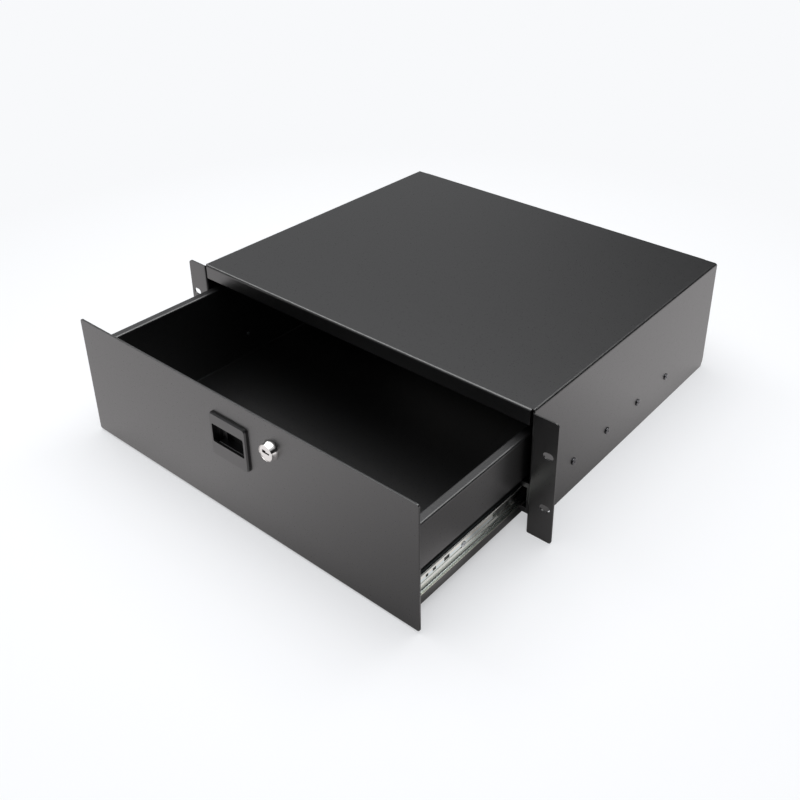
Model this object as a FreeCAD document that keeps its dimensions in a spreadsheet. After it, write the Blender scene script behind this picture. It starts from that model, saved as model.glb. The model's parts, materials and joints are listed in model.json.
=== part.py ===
import FreeCAD, Part
import Sketcher
import math
import os
import re

# Sliding rack drawer: a 3U steel drawer on ball slides in a rack-mounted case.
#
# Row frame: x to the right, y into the rack, z up, in millimetres.  The origin is the centre
# of the ear bolt pattern, on the front face of the ears.  Every sub-part is drawn with the
# drawer shut and with heights measured from the bottom edge of the case; its Placement then
# moves it to the row frame, with the drawer open by rest_opening.

doc = FreeCAD.newDocument("rack_drawer")

# ---------------------------------------------------------------- driving dimensions
DIMENSIONS = [
    # case: one folded sheet with the ears, the front lip and the rear flanges
    ("ear_reach", 25.8, "how far an ear stands out past the side of the case"),
    ("case_depth", 362.0, "front face of the ears to the rear face"),
    ("case_over_ears", 2.5, "how far the top of the case stands above the ears"),
    ("case_sheet", 1.5, "sheet thickness of the case"),
    ("bend_inner", 1.0, "inside radius of every sheet bend"),
    ("lip_drop", 16.0, "height of the lip folded down at the front of the top"),
    ("lip_gap", 2.0, "relief gap between each end of the lip and the side wall"),
    ("rear_flange", 12.0, "width of the flanges folded in at the back"),
    ("rear_flange_level", 10.0, "height at which the side flanges at the back start"),
    ("rear_corner_cut", 3.5, "length of the cut at the bottom rear corner of each side"),
    # rack ears
    ("ear_span", 482.6, "width over both ears"),
    ("ear_height", 130.5, "height of the ears"),
    ("ear_top_round", 4.5, "radius of the top outer corner of an ear"),
    ("ear_bottom_round", 3.0, "radius of the bottom outer corner of an ear"),
    ("slot_inset", 8.75, "distance from the outer edge of an ear to the middle of its slots"),
    ("rack_pitch_up", 57.15, "distance between the two slots of one ear"),
    ("rack_slot_width", 7.0, "height of a rack slot"),
    ("rack_slot_length", 10.5, "end-to-end length of a rack slot"),
    # rear panel
    ("rear_sheet", 1.2, "sheet thickness of the rear panel"),
    ("rear_foot", 7.0, "width of the stiffening flange along the bottom of the rear panel"),
    ("rear_panel_level", 12.0, "height of the bottom edge of the rear panel"),
    # ball slides
    ("slide_thick", 12.7, "space that a slide takes between tray and case"),
    ("slide_height", 35.3, "height of the case member of a slide"),
    ("slide_rear_room", 7.0, "space behind the slides"),
    ("slide_sheet", 1.2, "sheet thickness of the slide members"),
    ("slide_setback", 5.0, "distance from the front of the ears to the slides"),
    ("slide_level", 34.5, "height of the middle of the slides"),
    ("runner_height", 22.0, "height of the drawer member of a slide"),
    ("runner_depth", 8.6, "how far the raceways of the drawer member stand out"),
    ("runner_shorter", 10.0, "how much shorter the drawer member is than the case member"),
    ("ball_diameter", 6.0, "diameter of the slide balls"),
    ("ball_offset", 5.4, "distance from the tray wall to the row of balls"),
    ("ball_pitch", 21.0, "distance between two balls of a row"),
    ("race_clearance", 0.05, "radial clearance of a ball in its raceways"),
    ("cage_length", 70.0, "length of a ball cage"),
    ("cage_sheet", 0.6, "sheet thickness of a ball cage"),
    ("cage_gap", 0.4, "clearance between the drawer member and the web of the cage"),
    ("cage_margin", 1.1, "steel left beside a ball pocket"),
    ("bumper_length", 8.0, "length of the rubber bumper at the back of a slide"),
    ("bumper_height", 16.0, "height of the rubber bumper at the back of a slide"),
    ("cap_sheet", 1.5, "thickness of the end caps on the case members"),
    ("cap_web", 1.1, "thickness of the lead-in of an end cap on the web of the case member"),
    ("cap_reach", 12.0, "how far the lead-in of an end cap reaches back"),
    ("cap_clearance", 0.6, "clearance between the drawer member and the end caps"),
    ("bumper_gap", 0.4, "clearance between shut drawer member and bumper"),
    ("case_screw_first", 75.0, "first screw of a case member, from the front of the ears"),
    ("case_screw_pitch", 62.0, "distance between the screws of a case member"),
    ("drawer_screw_first", 70.0, "first screw of a drawer member, drawer shut"),
    ("drawer_screw_pitch", 115.0, "distance between the screws of a drawer member"),
    ("screw_diameter", 4.0, "thread diameter of the slide screws and front studs"),
    ("screw_clearance", 0.2, "radial clearance of a screw in its hole"),
    ("screw_head_diameter", 8.0, "head diameter of the case slide screws"),
    ("screw_head_height", 2.4, "head height of the case slide screws"),
    ("runner_head_diameter", 7.6, "head diameter of the drawer slide screws"),
    ("runner_head_height", 2.0, "head height of the drawer slide screws"),
    ("screw_end", 0.9, "how far a screw end stands past the sheets it joins"),
    # drawer tray
    ("tray_level", 7.0, "height of the underside of the tray"),
    ("rim_clearance", 28.0, "distance from the top of the case down to the rim of the tray"),
    ("tray_sheet", 1.2, "sheet thickness of the tray"),
    ("tray_rear_room", 12.0, "space behind the shut tray"),
    ("rim_width", 8.7, "width of the rim turned out along the top of a tray side"),
    ("skirt_gap", 7.85, "clearance between the skirt of the rim and the case members of the slides"),
    ("wall_flange", 12.0, "length of the weld flanges of the tray end walls"),
    ("wall_level", 9.6, "height of the bottom edge of the tray end walls"),
    ("wall_top_gap", 2.0, "how far the end walls stay below the rim"),
    # drawer front
    ("front_under_top", 1.0, "how far the drawer front ends below the top of the case"),
    ("front_level", 2.0, "height of the bottom edge of the drawer front"),
    ("front_sheet", 2.0, "thickness of the drawer front"),
    ("front_gap", 1.0, "gap between the ears and the shut drawer front"),
    ("front_round", 2.5, "corner radius of the drawer front"),
    ("front_edge", 0.4, "rounding of the edges of the drawer front"),
    ("stud_inner", 92.0, "distance of the inner front studs from the middle"),
    ("stud_inset", 35.5, "distance of the outer front studs from the edge of the drawer front"),
    ("stud_low", 24.0, "height of the lower front studs"),
    ("stud_drop", 44.0, "distance of the upper front studs from the top of the drawer front"),
    ("nut_across", 7.0, "width across flats of the stud nuts"),
    ("nut_height", 3.2, "height of the stud nuts"),
    # latch
    ("bezel_width", 48.0, "width of the latch bezel at the drawer front"),
    ("bezel_height", 46.0, "height of the latch bezel at the drawer front"),
    ("bezel_drop", 44.0, "distance from the top of the drawer front to the middle of the bezel"),
    ("bezel_proud", 3.0, "how far the bezel stands out of the drawer front"),
    ("bezel_round", 4.0, "corner radius of the bezel"),
    ("bezel_bevel", 1.2, "bevel around the face of the bezel"),
    ("bezel_plate", 2.0, "wall thickness of the bezel face"),
    ("grip_width", 41.0, "width of the finger opening"),
    ("grip_height", 19.5, "height of the finger opening"),
    ("grip_rise", 1.75, "how far the finger opening sits above the middle of the bezel"),
    ("grip_round", 1.6, "corner radius of the finger opening"),
    ("pocket_width", 44.0, "outside width of the latch body behind the bezel"),
    ("pocket_height", 42.0, "outside height of the latch body behind the bezel"),
    ("pocket_wall", 1.5, "wall thickness of the latch body"),
    ("pocket_end", 11.6, "rear face of the latch body, drawer shut"),
    ("pocket_fit", 0.3, "clearance of the latch body in the drawer front"),
    ("cover_sheet", 1.5, "thickness of the latch cover"),
    ("latch_slack", 0.2, "clearance of the latch bolt in its guides"),
    ("bolt_front", 2.2, "front face of the latch bolt, drawer shut"),
    ("bolt_thick", 6.4, "thickness of the latch bolt"),
    ("bolt_width", 39.0, "width of the latch bolt"),
    ("bolt_travel", 8.0, "travel of the latch bolt"),
    ("bolt_room", 0.5, "space left under the latch bolt at the end of its travel"),
    ("shoulder_gap", 0.3, "gap over the shoulders of the raised latch bolt"),
    ("tongue_width", 22.0, "width of the tongue of the latch bolt"),
    ("tongue_room", 9.0, "distance from the top of the case to the tip of the tongue"),
    ("tongue_ramp", 4.5, "depth of the ramp behind the tip of the tongue"),
    ("recess_depth", 4.0, "depth of the finger recess in the front of the latch bolt"),
    ("recess_bar", 5.0, "height of the bar left above the finger recess"),
    ("tab_width", 34.0, "width of the finger tab of the latch bolt"),
    ("tab_rise", 0.0, "distance from the lower edge of the bolt to the finger tab"),
    ("tab_thick", 2.5, "thickness of the finger tab"),
    ("tab_reach", 5.2, "how far the finger tab stands in front of the latch bolt"),
    ("rail_width", 2.6, "width of the two guide rails in front of the latch bolt"),
    ("rail_thick", 1.2, "thickness of the two guide rails"),
    ("spring_diameter", 4.2, "outside diameter of a latch spring"),
    ("spring_wire", 0.6, "wire size of a latch spring"),
    ("spring_turns", 5.0, "turns of a latch spring"),
    ("spring_place", 14.8, "distance from the middle to each latch spring"),
    ("spring_bore", 4.8, "diameter of the spring bores in the latch bolt"),
    ("spring_bore_depth", 13.0, "depth of the spring bores in the latch bolt"),
    # cam lock
    ("lock_x", 52.6, "distance of the lock axis from the middle"),
    ("lock_drop", 28.4, "distance from the top of the drawer front to the lock axis"),
    ("lock_head", 19.4, "diameter of the lock head at the drawer front"),
    ("lock_proud", 5.6, "how far the lock head stands out of the drawer front"),
    ("lock_rim", 1.6, "width of the rim around the face of the plug"),
    ("lock_taper", 0.5, "how much smaller the lock head's radius is at its face"),
    ("plug_bevel", 0.3, "bevel around the face of the plug"),
    ("lock_recess", 0.4, "how far the face of the plug sits below the rim"),
    ("lock_bevel", 0.4, "bevel of the lock head"),
    ("lock_thread", 16.0, "diameter of the threaded lock body"),
    ("lock_flat", 14.0, "width across the two flats of the lock body"),
    ("lock_end", 9.0, "rear face of the lock body, drawer shut"),
    ("plug_diameter", 11.5, "diameter of the barrel of the plug"),
    ("plug_head", 3.0, "thickness of the face of the plug"),
    ("plug_fit", 0.05, "radial running clearance of the plug"),
    ("keyway_length", 8.6, "length of the keyway"),
    ("keyway_width", 1.7, "width of the narrow part of the keyway"),
    ("keyway_wide", 3.0, "width of the wide part of the keyway"),
    ("keyway_depth", 6.0, "depth of the keyway"),
    ("lock_nut_across", 19.0, "width across flats of the lock nut"),
    ("lock_nut_height", 3.5, "height of the lock nut"),
    ("cam_width", 12.0, "width of the lock cam"),
    ("cam_sheet", 1.5, "thickness of the lock cam"),
    ("cam_crank", 11.5, "distance from the axis to the cranked part of the cam"),
    ("cam_reach", 20.0, "length of the lock cam from the axis"),
    ("cam_tip_front", 2.2, "front face of the tip of the cam, drawer shut"),
    ("cam_square", 7.0, "width of the square that turns the cam"),
    ("cam_screw_head", 7.4, "head diameter of the cam screw"),
    ("cam_screw_height", 2.2, "head height of the cam screw"),
    # pose
    ("rest_opening", 147.5, "how far the drawer is drawn out at rest"),
]

# ---------------------------------------------------------------- places worked out from them
PLACES = [
    ("case_width", "ear_span - 2 * ear_reach"),
    ("case_height", "ear_height + case_over_ears"),
    ("rack_pitch_across", "ear_span - 2 * slot_inset"),
    ("slide_length", "case_depth - slide_setback - slide_rear_room"),
    ("runner_length", "slide_length - runner_shorter"),
    ("cage_centre", "slide_setback + runner_length / 2"),
    ("front_width", "case_width"),
    ("front_height", "case_height - front_under_top - front_level"),
    ("front_top", "case_height - front_under_top"),
    ("tray_top", "case_height - rim_clearance"),
    ("tray_end", "case_depth - tray_rear_room"),
    ("stud_outer", "front_width / 2 - stud_inset"),
    ("stud_high", "front_top - stud_drop"),
    ("bezel_level", "front_top - bezel_drop"),
    ("grip_level", "bezel_level + grip_rise"),
    ("lock_level", "front_top - lock_drop"),
    ("case_fold", "case_sheet + bend_inner"),
    ("case_half", "case_width / 2"),
    ("case_inside", "case_width / 2 - case_sheet"),
    ("ear_fold_x", "case_width / 2 + bend_inner"),
    ("lip_half", "case_width / 2 - case_sheet - lip_gap"),
    ("slide_inner", "case_width / 2 - case_sheet - slide_thick"),
    ("ball_radius", "ball_diameter / 2"),
    ("race_radius", "ball_diameter / 2 + race_clearance"),
    ("ball_rise", "slide_height / 2 - slide_sheet - race_radius"),
    ("ball_line", "slide_inner + ball_offset"),
    ("runner_half", "runner_height / 2"),
    ("groove_half", "sqrt(race_radius ^ 2 - (ball_rise - runner_half) ^ 2)"),
    ("relief_half", "sqrt((race_radius + slide_sheet) ^ 2 - (ball_rise - runner_half + slide_sheet) ^ 2)"),
    ("cage_web", "slide_inner + runner_depth + cage_gap"),
    ("cage_edge", "ball_line - race_radius - cage_margin"),
    ("tray_fold", "tray_sheet + bend_inner"),
    ("tray_inside", "slide_inner - tray_sheet"),
    ("rim_outside", "slide_inner + rim_width"),
    ("skirt_level", "slide_level + slide_height / 2 + skirt_gap"),
    ("front_back", "-front_gap"),
    ("front_face", "-front_gap - front_sheet"),
    ("bezel_face", "front_face - bezel_proud"),
    ("pocket_half", "pocket_width / 2 - pocket_wall"),
    ("pocket_floor", "bezel_level - pocket_height / 2 + pocket_wall"),
    ("pocket_roof", "bezel_level + pocket_height / 2 - pocket_wall"),
    ("bolt_low", "pocket_floor + bolt_travel + bolt_room"),
    ("bolt_shoulder", "pocket_roof - shoulder_gap"),
    ("tongue_top", "case_height - tongue_room"),
    ("tab_level", "bolt_low + tab_rise"),
    ("recess_half", "spring_place - spring_bore / 2 - 1.4"),
    ("spring_top", "bolt_low + spring_bore_depth"),
    ("cover_front", "bolt_front + bolt_thick + latch_slack"),
    ("bolt_middle", "bolt_front + bolt_thick / 2"),
    ("lock_face", "front_face - lock_proud"),
    ("plug_face", "lock_face + lock_recess"),
    ("face_radius", "lock_head / 2 - lock_taper - lock_rim"),
    ("cam_back", "lock_end + 0.1"),
]


def put_sheet(name, rows):
    """Write (alias, content, note) rows into a new sheet."""
    sheet = doc.addObject("Spreadsheet::Sheet", name)
    for number, (alias, content, note) in enumerate(rows, start=1):
        sheet.set(f"A{number}", alias)
        sheet.set(f"B{number}", content)
        sheet.set(f"C{number}", note)
        sheet.setAlias(f"B{number}", alias)
    return sheet


SHEET_OF = {row[0]: "dims" for row in DIMENSIONS}
SHEET_OF.update({row[0]: "places" for row in PLACES})


def ex(text):
    """Turn plain aliases into references to the sheet that holds them."""
    return re.sub(r"[a-z][a-z_]*[a-z]", lambda m: f"{SHEET_OF[m.group()]}.{m.group()}"
                  if m.group() in SHEET_OF else m.group(), str(text))


dims = put_sheet("dims", [(alias, str(value), note) for alias, value, note in DIMENSIONS])
doc.recompute()
places = put_sheet("places", [(alias, "=" + ex(formula), "") for alias, formula in PLACES])
doc.recompute()


def value(text):
    """The number that a formula over the aliases gives now."""
    result = dims.evalExpression(ex(text))
    return float(getattr(result, "Value", result))


# ---------------------------------------------------------------- modelling helpers
PARTS = {}
OPENING_SHARE = {"case": 0.0, "cage": 0.5, "drawer": 1.0}


def place(item, moves_with):
    """Bind the Placement: heights from the case bottom, depths with the drawer shut."""
    item.setExpression("Placement.Base.z", ex("-ear_height / 2"))
    share = OPENING_SHARE[moves_with]
    item.setExpression("Placement.Base.y", ex(f"-rest_opening * {share}"))
    PARTS[item.Label] = item


def new_body(label, moves_with):
    body = doc.addObject("PartDesign::Body", label)
    body.Label = label
    body.AllowCompound = True
    place(body, moves_with)
    return body


def new_sketch(body, plane, start):
    """A sketch on an origin plane of the body, moved along +X, +Y or +Z to start."""
    sketch = body.newObject("Sketcher::SketchObject", body.Name + "_sketch")
    origin = [f for f in body.Origin.OriginFeatures if f.Role == plane + "_Plane"][0]
    sketch.AttachmentSupport = [(origin, "")]
    sketch.MapMode = "FlatFace"
    sign = "-" if plane == "XZ" else ""
    sketch.setExpression("AttachmentOffset.Base.z", ex(f"{sign}({start})"))
    return sketch


def pin_down(sketch, geometry, point, place_xy):
    """Bind one sketch point to a pair of formulas."""
    for kind, text in zip(("DistanceX", "DistanceY"), place_xy):
        number = sketch.addConstraint(Sketcher.Constraint(kind, geometry, point, value(text)))
        sketch.setExpression(f"Constraints[{number}]", ex(text))


def outline(sketch, corners, side=1):
    """A closed outline.  A corner is (x, y) or (x, y, radius, turn): the edge that leaves it
    is then an arc of that radius, turning left (1) or right (-1); the radius "half" is for a
    half circle over an upright or level chord.  side=-1 mirrors x."""
    spots = []
    for corner in corners:
        x_text = corner[0] if side == 1 else f"-({corner[0]})"
        spots.append((x_text, corner[1]))
    points = [FreeCAD.Vector(value(x), value(y), 0) for x, y in spots]
    previous_end = None
    first_start = None
    for index, corner in enumerate(corners):
        start = points[index]
        end = points[(index + 1) % len(points)]
        if len(corner) == 2:
            geometry = sketch.addGeometry(Part.LineSegment(start, end))
            start_tag, end_tag = 1, 2
        else:
            turn = corner[3] * side
            chord = end - start
            half_turn = corner[2] == "half"
            radius = chord.Length / 2 if half_turn else value(corner[2])
            rise = 0.0 if half_turn else math.sqrt(max(radius ** 2 - (chord.Length / 2) ** 2, 0.0))
            across = FreeCAD.Vector(-chord.y, chord.x, 0).normalize() * turn
            centre = (start + end) / 2 + across * rise
            start_tag, end_tag = (1, 2) if turn == 1 else (2, 1)
            first, last = (start, end) if turn == 1 else (end, start)
            angles = [math.atan2(spot.y - centre.y, spot.x - centre.x) for spot in (first, last)]
            full = Part.Circle(centre, FreeCAD.Vector(0, 0, 1), radius)
            geometry = sketch.addGeometry(Part.ArcOfCircle(full, *angles))
            if half_turn:
                upright = abs(chord.x) < 1e-9
                kind, text = ("DistanceX", spots[index][0]) if upright else ("DistanceY", spots[index][1])
                number = sketch.addConstraint(Sketcher.Constraint(kind, geometry, 3, value(text)))
            else:
                text = corner[2]
                number = sketch.addConstraint(Sketcher.Constraint("Radius", geometry, radius))
            sketch.setExpression(f"Constraints[{number}]", ex(text))
        pin_down(sketch, geometry, start_tag, spots[index])
        if previous_end is not None:
            sketch.addConstraint(Sketcher.Constraint("Coincident", *previous_end, geometry, start_tag))
        else:
            first_start = (geometry, start_tag)
        previous_end = (geometry, end_tag)
    sketch.addConstraint(Sketcher.Constraint("Coincident", *previous_end, *first_start))


def box_outline(sketch, low_x, low_y, high_x, high_y, side=1):
    outline(sketch, [(low_x, low_y), (high_x, low_y), (high_x, high_y), (low_x, high_y)], side)


def circle(sketch, x, y, diameter, side=1):
    x_text = x if side == 1 else f"-({x})"
    centre = FreeCAD.Vector(value(x_text), value(y), 0)
    radius = f"({diameter}) / 2"
    geometry = sketch.addGeometry(Part.Circle(centre, FreeCAD.Vector(0, 0, 1), value(radius)))
    pin_down(sketch, geometry, 3, (x_text, y))
    number = sketch.addConstraint(Sketcher.Constraint("Radius", geometry, value(radius)))
    sketch.setExpression(f"Constraints[{number}]", ex(radius))


def slot_outline(sketch, x, y, length, width, side=1):
    """A slot along the sketch's x with round ends."""
    reach = f"(({length}) - ({width})) / 2"
    half = f"({width}) / 2"
    outline(sketch, [(f"{x} - {reach}", f"{y} - {half}"),
                     (f"{x} + {reach}", f"{y} - {half}", "half", 1),
                     (f"{x} + {reach}", f"{y} + {half}"),
                     (f"{x} - {reach}", f"{y} + {half}", "half", 1)], side)


def hexagon(sketch, x, y, across):
    corners = []
    for step in range(6):
        reach = f"({across}) / 2 / cos(30 deg)"
        corners.append((f"{x} + {reach} * cos({60 * step} deg)", f"{y} + {reach} * sin({60 * step} deg)"))
    outline(sketch, corners)


def extrude(body, sketch, plane, length, cut=False):
    """Pad or pocket from the sketch towards +X, +Y or +Z; a cut has to remove volume."""
    before = body.Tip.Shape.Volume if cut else 0.0
    kind = "Pocket" if cut else "Pad"
    feature = body.newObject("PartDesign::" + kind, body.Name + "_" + kind.lower())
    feature.Profile = sketch
    feature.setExpression("Length", ex(length))
    feature.Reversed = (plane == "XZ") != cut
    sketch.Visibility = False
    doc.recompute()
    if cut and not feature.Shape.Volume < before - 1e-6:
        raise RuntimeError(f"{feature.Name} removes nothing")
    return feature


def pad(body, plane, start, length, draw):
    sketch = new_sketch(body, plane, start)
    draw(sketch)
    return extrude(body, sketch, plane, length)


def cut(body, plane, start, length, draw):
    sketch = new_sketch(body, plane, start)
    draw(sketch)
    return extrude(body, sketch, plane, length, cut=True)


def dress(body, kind, size_name, size, chosen):
    """Fillet or chamfer the edges of the body's tip that the test chosen(edge) picks."""
    base = body.Tip
    names = [f"Edge{n}" for n, edge in enumerate(base.Shape.Edges, start=1) if chosen(edge)]
    if not names:
        raise RuntimeError(f"{body.Name}: no edge to {kind.lower()}")
    feature = body.newObject("PartDesign::" + kind, body.Name + "_" + kind.lower())
    feature.Base = (base, names)
    feature.setExpression(size_name, ex(size))
    doc.recompute()
    return feature


def fillet(body, radius, chosen):
    return dress(body, "Fillet", "Radius", radius, chosen)


def chamfer(body, size, chosen):
    return dress(body, "Chamfer", "Size", size, chosen)


def edge_at(axis, **where):
    """A test for straight edges along axis through the given x, y or z (a formula each)."""
    goals = {name: value(text) for name, text in where.items()}

    def chosen(edge):
        if not isinstance(edge.Curve, Part.Line):
            return False
        way = edge.Vertexes[-1].Point - edge.Vertexes[0].Point
        if abs(getattr(way, axis)) < way.Length * 0.999:
            return False
        middle = (edge.Vertexes[-1].Point + edge.Vertexes[0].Point) / 2
        return all(abs(abs(getattr(middle, name)) - abs(goal)) < 1e-4 for name, goal in goals.items())
    return chosen


SIDES = {"left": -1, "right": 1}


# ---------------------------------------------------------------- case
def bent_ear(sketch, side):
    """Seen from above: the side wall folds outwards into the ear."""
    outline(sketch, [("case_inside", "case_fold", "case_fold", 1),
                     ("ear_fold_x", "0"),
                     ("ear_span / 2", "0"),
                     ("ear_span / 2", "case_sheet"),
                     ("ear_fold_x", "case_sheet", "bend_inner", -1),
                     ("case_half", "case_fold")], side)


def bent_rear_flange(sketch, side):
    """Seen from above: the side wall folds inwards at the back."""
    flange_end = "case_inside - rear_flange"
    outline(sketch, [("case_half", "case_depth - case_fold", "case_fold", 1),
                     ("case_half - case_fold", "case_depth"),
                     (flange_end, "case_depth"),
                     (flange_end, "case_depth - case_sheet"),
                     ("case_half - case_fold", "case_depth - case_sheet", "bend_inner", -1),
                     ("case_inside", "case_depth - case_fold")], side)


def case_section(sketch):
    """Seen from the front: the two sides and the top, with their bends."""
    high = "case_height - case_fold"
    corner = "case_half - case_fold"
    outline(sketch, [("case_half", "0"), ("case_half", high, "case_fold", 1),
                     (corner, "case_height"), (f"-({corner})", "case_height", "case_fold", 1),
                     ("-case_half", high), ("-case_half", "0"),
                     ("-case_inside", "0"), ("-case_inside", high, "bend_inner", -1),
                     (f"-({corner})", "case_height - case_sheet"),
                     (corner, "case_height - case_sheet", "bend_inner", -1),
                     ("case_inside", high), ("case_inside", "0")])


def front_lip_section(sketch):
    """Seen from the right: the top folds down into the lip."""
    low = "case_height - lip_drop"
    outline(sketch, [("case_fold", "case_height", "case_fold", 1),
                     ("0", "case_height - case_fold"), ("0", low), ("case_sheet", low),
                     ("case_sheet", "case_height - case_fold", "bend_inner", -1),
                     ("case_fold", "case_height - case_sheet")])


def rear_lip_section(sketch):
    back = "case_depth"
    low = "case_height - case_fold - rear_flange"
    outline(sketch, [("case_depth - case_fold", "case_height", "case_fold", -1),
                     (back, "case_height - case_fold"), (back, low),
                     ("case_depth - case_sheet", low),
                     ("case_depth - case_sheet", "case_height - case_fold", "bend_inner", 1),
                     ("case_depth - case_fold", "case_height - case_sheet")])


def case_screw_row(sketch, diameter):
    for number in range(4):
        circle(sketch, f"case_screw_first + {number} * case_screw_pitch", "slide_level", diameter)


def build_case_shell():
    body = new_body("case_shell", "case")
    pad(body, "XZ", "case_fold", "case_depth - 2 * case_fold", case_section)
    pad(body, "YZ", "-lip_half", "2 * lip_half", front_lip_section)
    rear_lip_half = "(case_inside - rear_flange - lip_gap)"
    pad(body, "YZ", f"-{rear_lip_half}", f"2 * {rear_lip_half}", rear_lip_section)
    for side in SIDES.values():
        pad(body, "XY", "0", "ear_height", lambda s, side=side: bent_ear(s, side))
        pad(body, "XY", "rear_flange_level",
            "case_height - case_fold - rear_flange_level", lambda s, side=side: bent_rear_flange(s, side))
    fillet(body, "ear_top_round", edge_at("y", x="ear_span / 2", z="ear_height"))
    fillet(body, "ear_bottom_round", edge_at("y", x="ear_span / 2", z="0"))

    def rack_slots(sketch):
        for x_sign in ("-", ""):
            for z_sign in ("-", "+"):
                slot_outline(sketch, f"{x_sign}rack_pitch_across / 2",
                             f"ear_height / 2 {z_sign} rack_pitch_up / 2",
                             "rack_slot_length", "rack_slot_width")

    cut(body, "XZ", "-case_sheet", "3 * case_sheet", rack_slots)
    cut(body, "YZ", "-case_half - case_sheet", "case_width + 2 * case_sheet",
        lambda s: case_screw_row(s, "screw_diameter + 2 * screw_clearance"))

    def corner_cut(sketch):
        back = "case_depth"
        outline(sketch, [("case_depth - case_fold - rear_corner_cut", "-1"),
                         (back, "-1"), (back, "2 * rear_corner_cut"),
                         ("case_depth - case_fold", "2 * rear_corner_cut"),
                         ("case_depth - case_fold - rear_corner_cut", "0")])

    cut(body, "YZ", "-case_half - case_sheet", "case_width + 2 * case_sheet", corner_cut)


def build_rear_panel():
    """A plate spot-welded to the rear flanges, with a flange folded in along its bottom."""
    body = new_body("case_rear_panel", "case")
    fold = "(rear_sheet + bend_inner)"
    back = "(case_depth - case_sheet)"
    low = "rear_panel_level"
    high = "case_height - case_fold - 0.2"

    def section(sketch):
        outline(sketch, [(back, f"{low} + {fold}"), (back, high),
                         (f"{back} - rear_sheet", high),
                         (f"{back} - rear_sheet", f"{low} + {fold}", "bend_inner", -1),
                         (f"{back} - {fold}", f"{low} + rear_sheet"),
                         (f"{back} - {fold} - rear_foot", f"{low} + rear_sheet"),
                         (f"{back} - {fold} - rear_foot", low),
                         (f"{back} - {fold}", low, fold, 1)])

    half = "(slide_inner - 2)"
    pad(body, "YZ", f"-{half}", f"2 * {half}", section)
    wide = "(case_inside - bend_inner - 0.2)"
    above_slide = "(slide_level + slide_height / 2 + 3)"
    pad(body, "XZ", f"{back} - rear_sheet", "rear_sheet",
        lambda s: box_outline(s, f"-{wide}", above_slide, wide, high))


# ---------------------------------------------------------------- ball slides
def mirrored_section(upper):
    """Close an upper half section with its mirror image below the slide's middle.
    upper runs from the outer face to the inner face; heights are above the middle."""
    path = [(corner[0], f"slide_level + {corner[1]}") + tuple(corner[2:]) for corner in upper]
    lower = []
    for index in range(len(upper) - 1, -1, -1):
        corner = upper[index]
        leaving = upper[index - 1] if index > 0 else ()
        arc = tuple(leaving[2:])
        lower.append((corner[0], f"slide_level - ({corner[1]})") + arc)
    return path, lower


def on_race(radius, angle):
    """A point at an angle around the upper row of balls, as formulas above the middle."""
    return (f"ball_line + ({radius}) * cos({angle} deg)", f"ball_rise + ({radius}) * sin({angle} deg)")


HOOK_ANGLE = 150
SHOULDER_ANGLE = 50


def case_member_section(sketch, side):
    """C section: web on the case wall, hooked raceways above and below the balls."""
    outer_race = "(race_radius + slide_sheet)"
    fold = "(slide_sheet + 0.4)"
    shoulder = "(slide_height / 2 - 1.4)"
    upper = [("case_inside", f"{shoulder} - {fold}", fold, 1),
             (f"case_inside - {fold}", shoulder),
             (*on_race(outer_race, SHOULDER_ANGLE), outer_race, 1),
             on_race(outer_race, HOOK_ANGLE),
             (*on_race("race_radius", HOOK_ANGLE), "race_radius", -1),
             on_race("race_radius", SHOULDER_ANGLE),
             (f"case_inside - {fold}", f"{shoulder} - slide_sheet", "0.4", -1),
             ("case_inside - slide_sheet", f"{shoulder} - {fold}")]
    path, lower = mirrored_section(upper)
    outline(sketch, path + lower, side)


def runner_section(sketch, side):
    """C section: web on the tray wall, lips grooved for the balls."""
    fold = "(slide_sheet + 0.4)"
    under = "(runner_half - slide_sheet)"
    tip = "slide_inner + runner_depth"
    upper = [(tip, under), (tip, "runner_half"),
             ("ball_line + groove_half", "runner_half", "race_radius", -1),
             ("ball_line - groove_half", "runner_half"),
             (f"slide_inner + {fold}", "runner_half", fold, 1),
             ("slide_inner", f"runner_half - {fold}")]
    inner = [("slide_inner + slide_sheet", f"runner_half - {fold}", "0.4", -1),
             (f"slide_inner + {fold}", under),
             ("ball_line - relief_half", under, "(race_radius + slide_sheet)", 1),
             ("ball_line + relief_half", under)]
    up = [(c[0], f"slide_level + {c[1]}") + tuple(c[2:]) for c in upper]
    low_outer = []
    for index in range(len(upper) - 1, -1, -1):
        arc = tuple(upper[index - 1][2:]) if index > 0 else ()
        low_outer.append((upper[index][0], f"slide_level - ({upper[index][1]})") + arc)
    low_inner = []
    for index in range(len(inner) - 1, -1, -1):
        arc = tuple(inner[index - 1][2:]) if index > 0 else ()
        low_inner.append((inner[index][0], f"slide_level - ({inner[index][1]})") + arc)
    up_inner = [(c[0], f"slide_level + {c[1]}") + tuple(c[2:]) for c in inner]
    outline(sketch, up + low_outer + low_inner + up_inner, side)


def build_case_member(name, side):
    body = new_body(name + "_case_slide", "case")
    pad(body, "XZ", "slide_setback", "slide_length", lambda s: case_member_section(s, side))
    start = "case_inside - 2 * slide_sheet" if side == 1 else "-case_inside - slide_sheet"
    cut(body, "YZ", start, "3 * slide_sheet",
        lambda s: case_screw_row(s, "screw_diameter + 2 * race_clearance"))


def drawer_screw_row(sketch, diameter):
    for number in range(3):
        circle(sketch, f"drawer_screw_first + {number} * drawer_screw_pitch", "slide_level", diameter)


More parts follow.
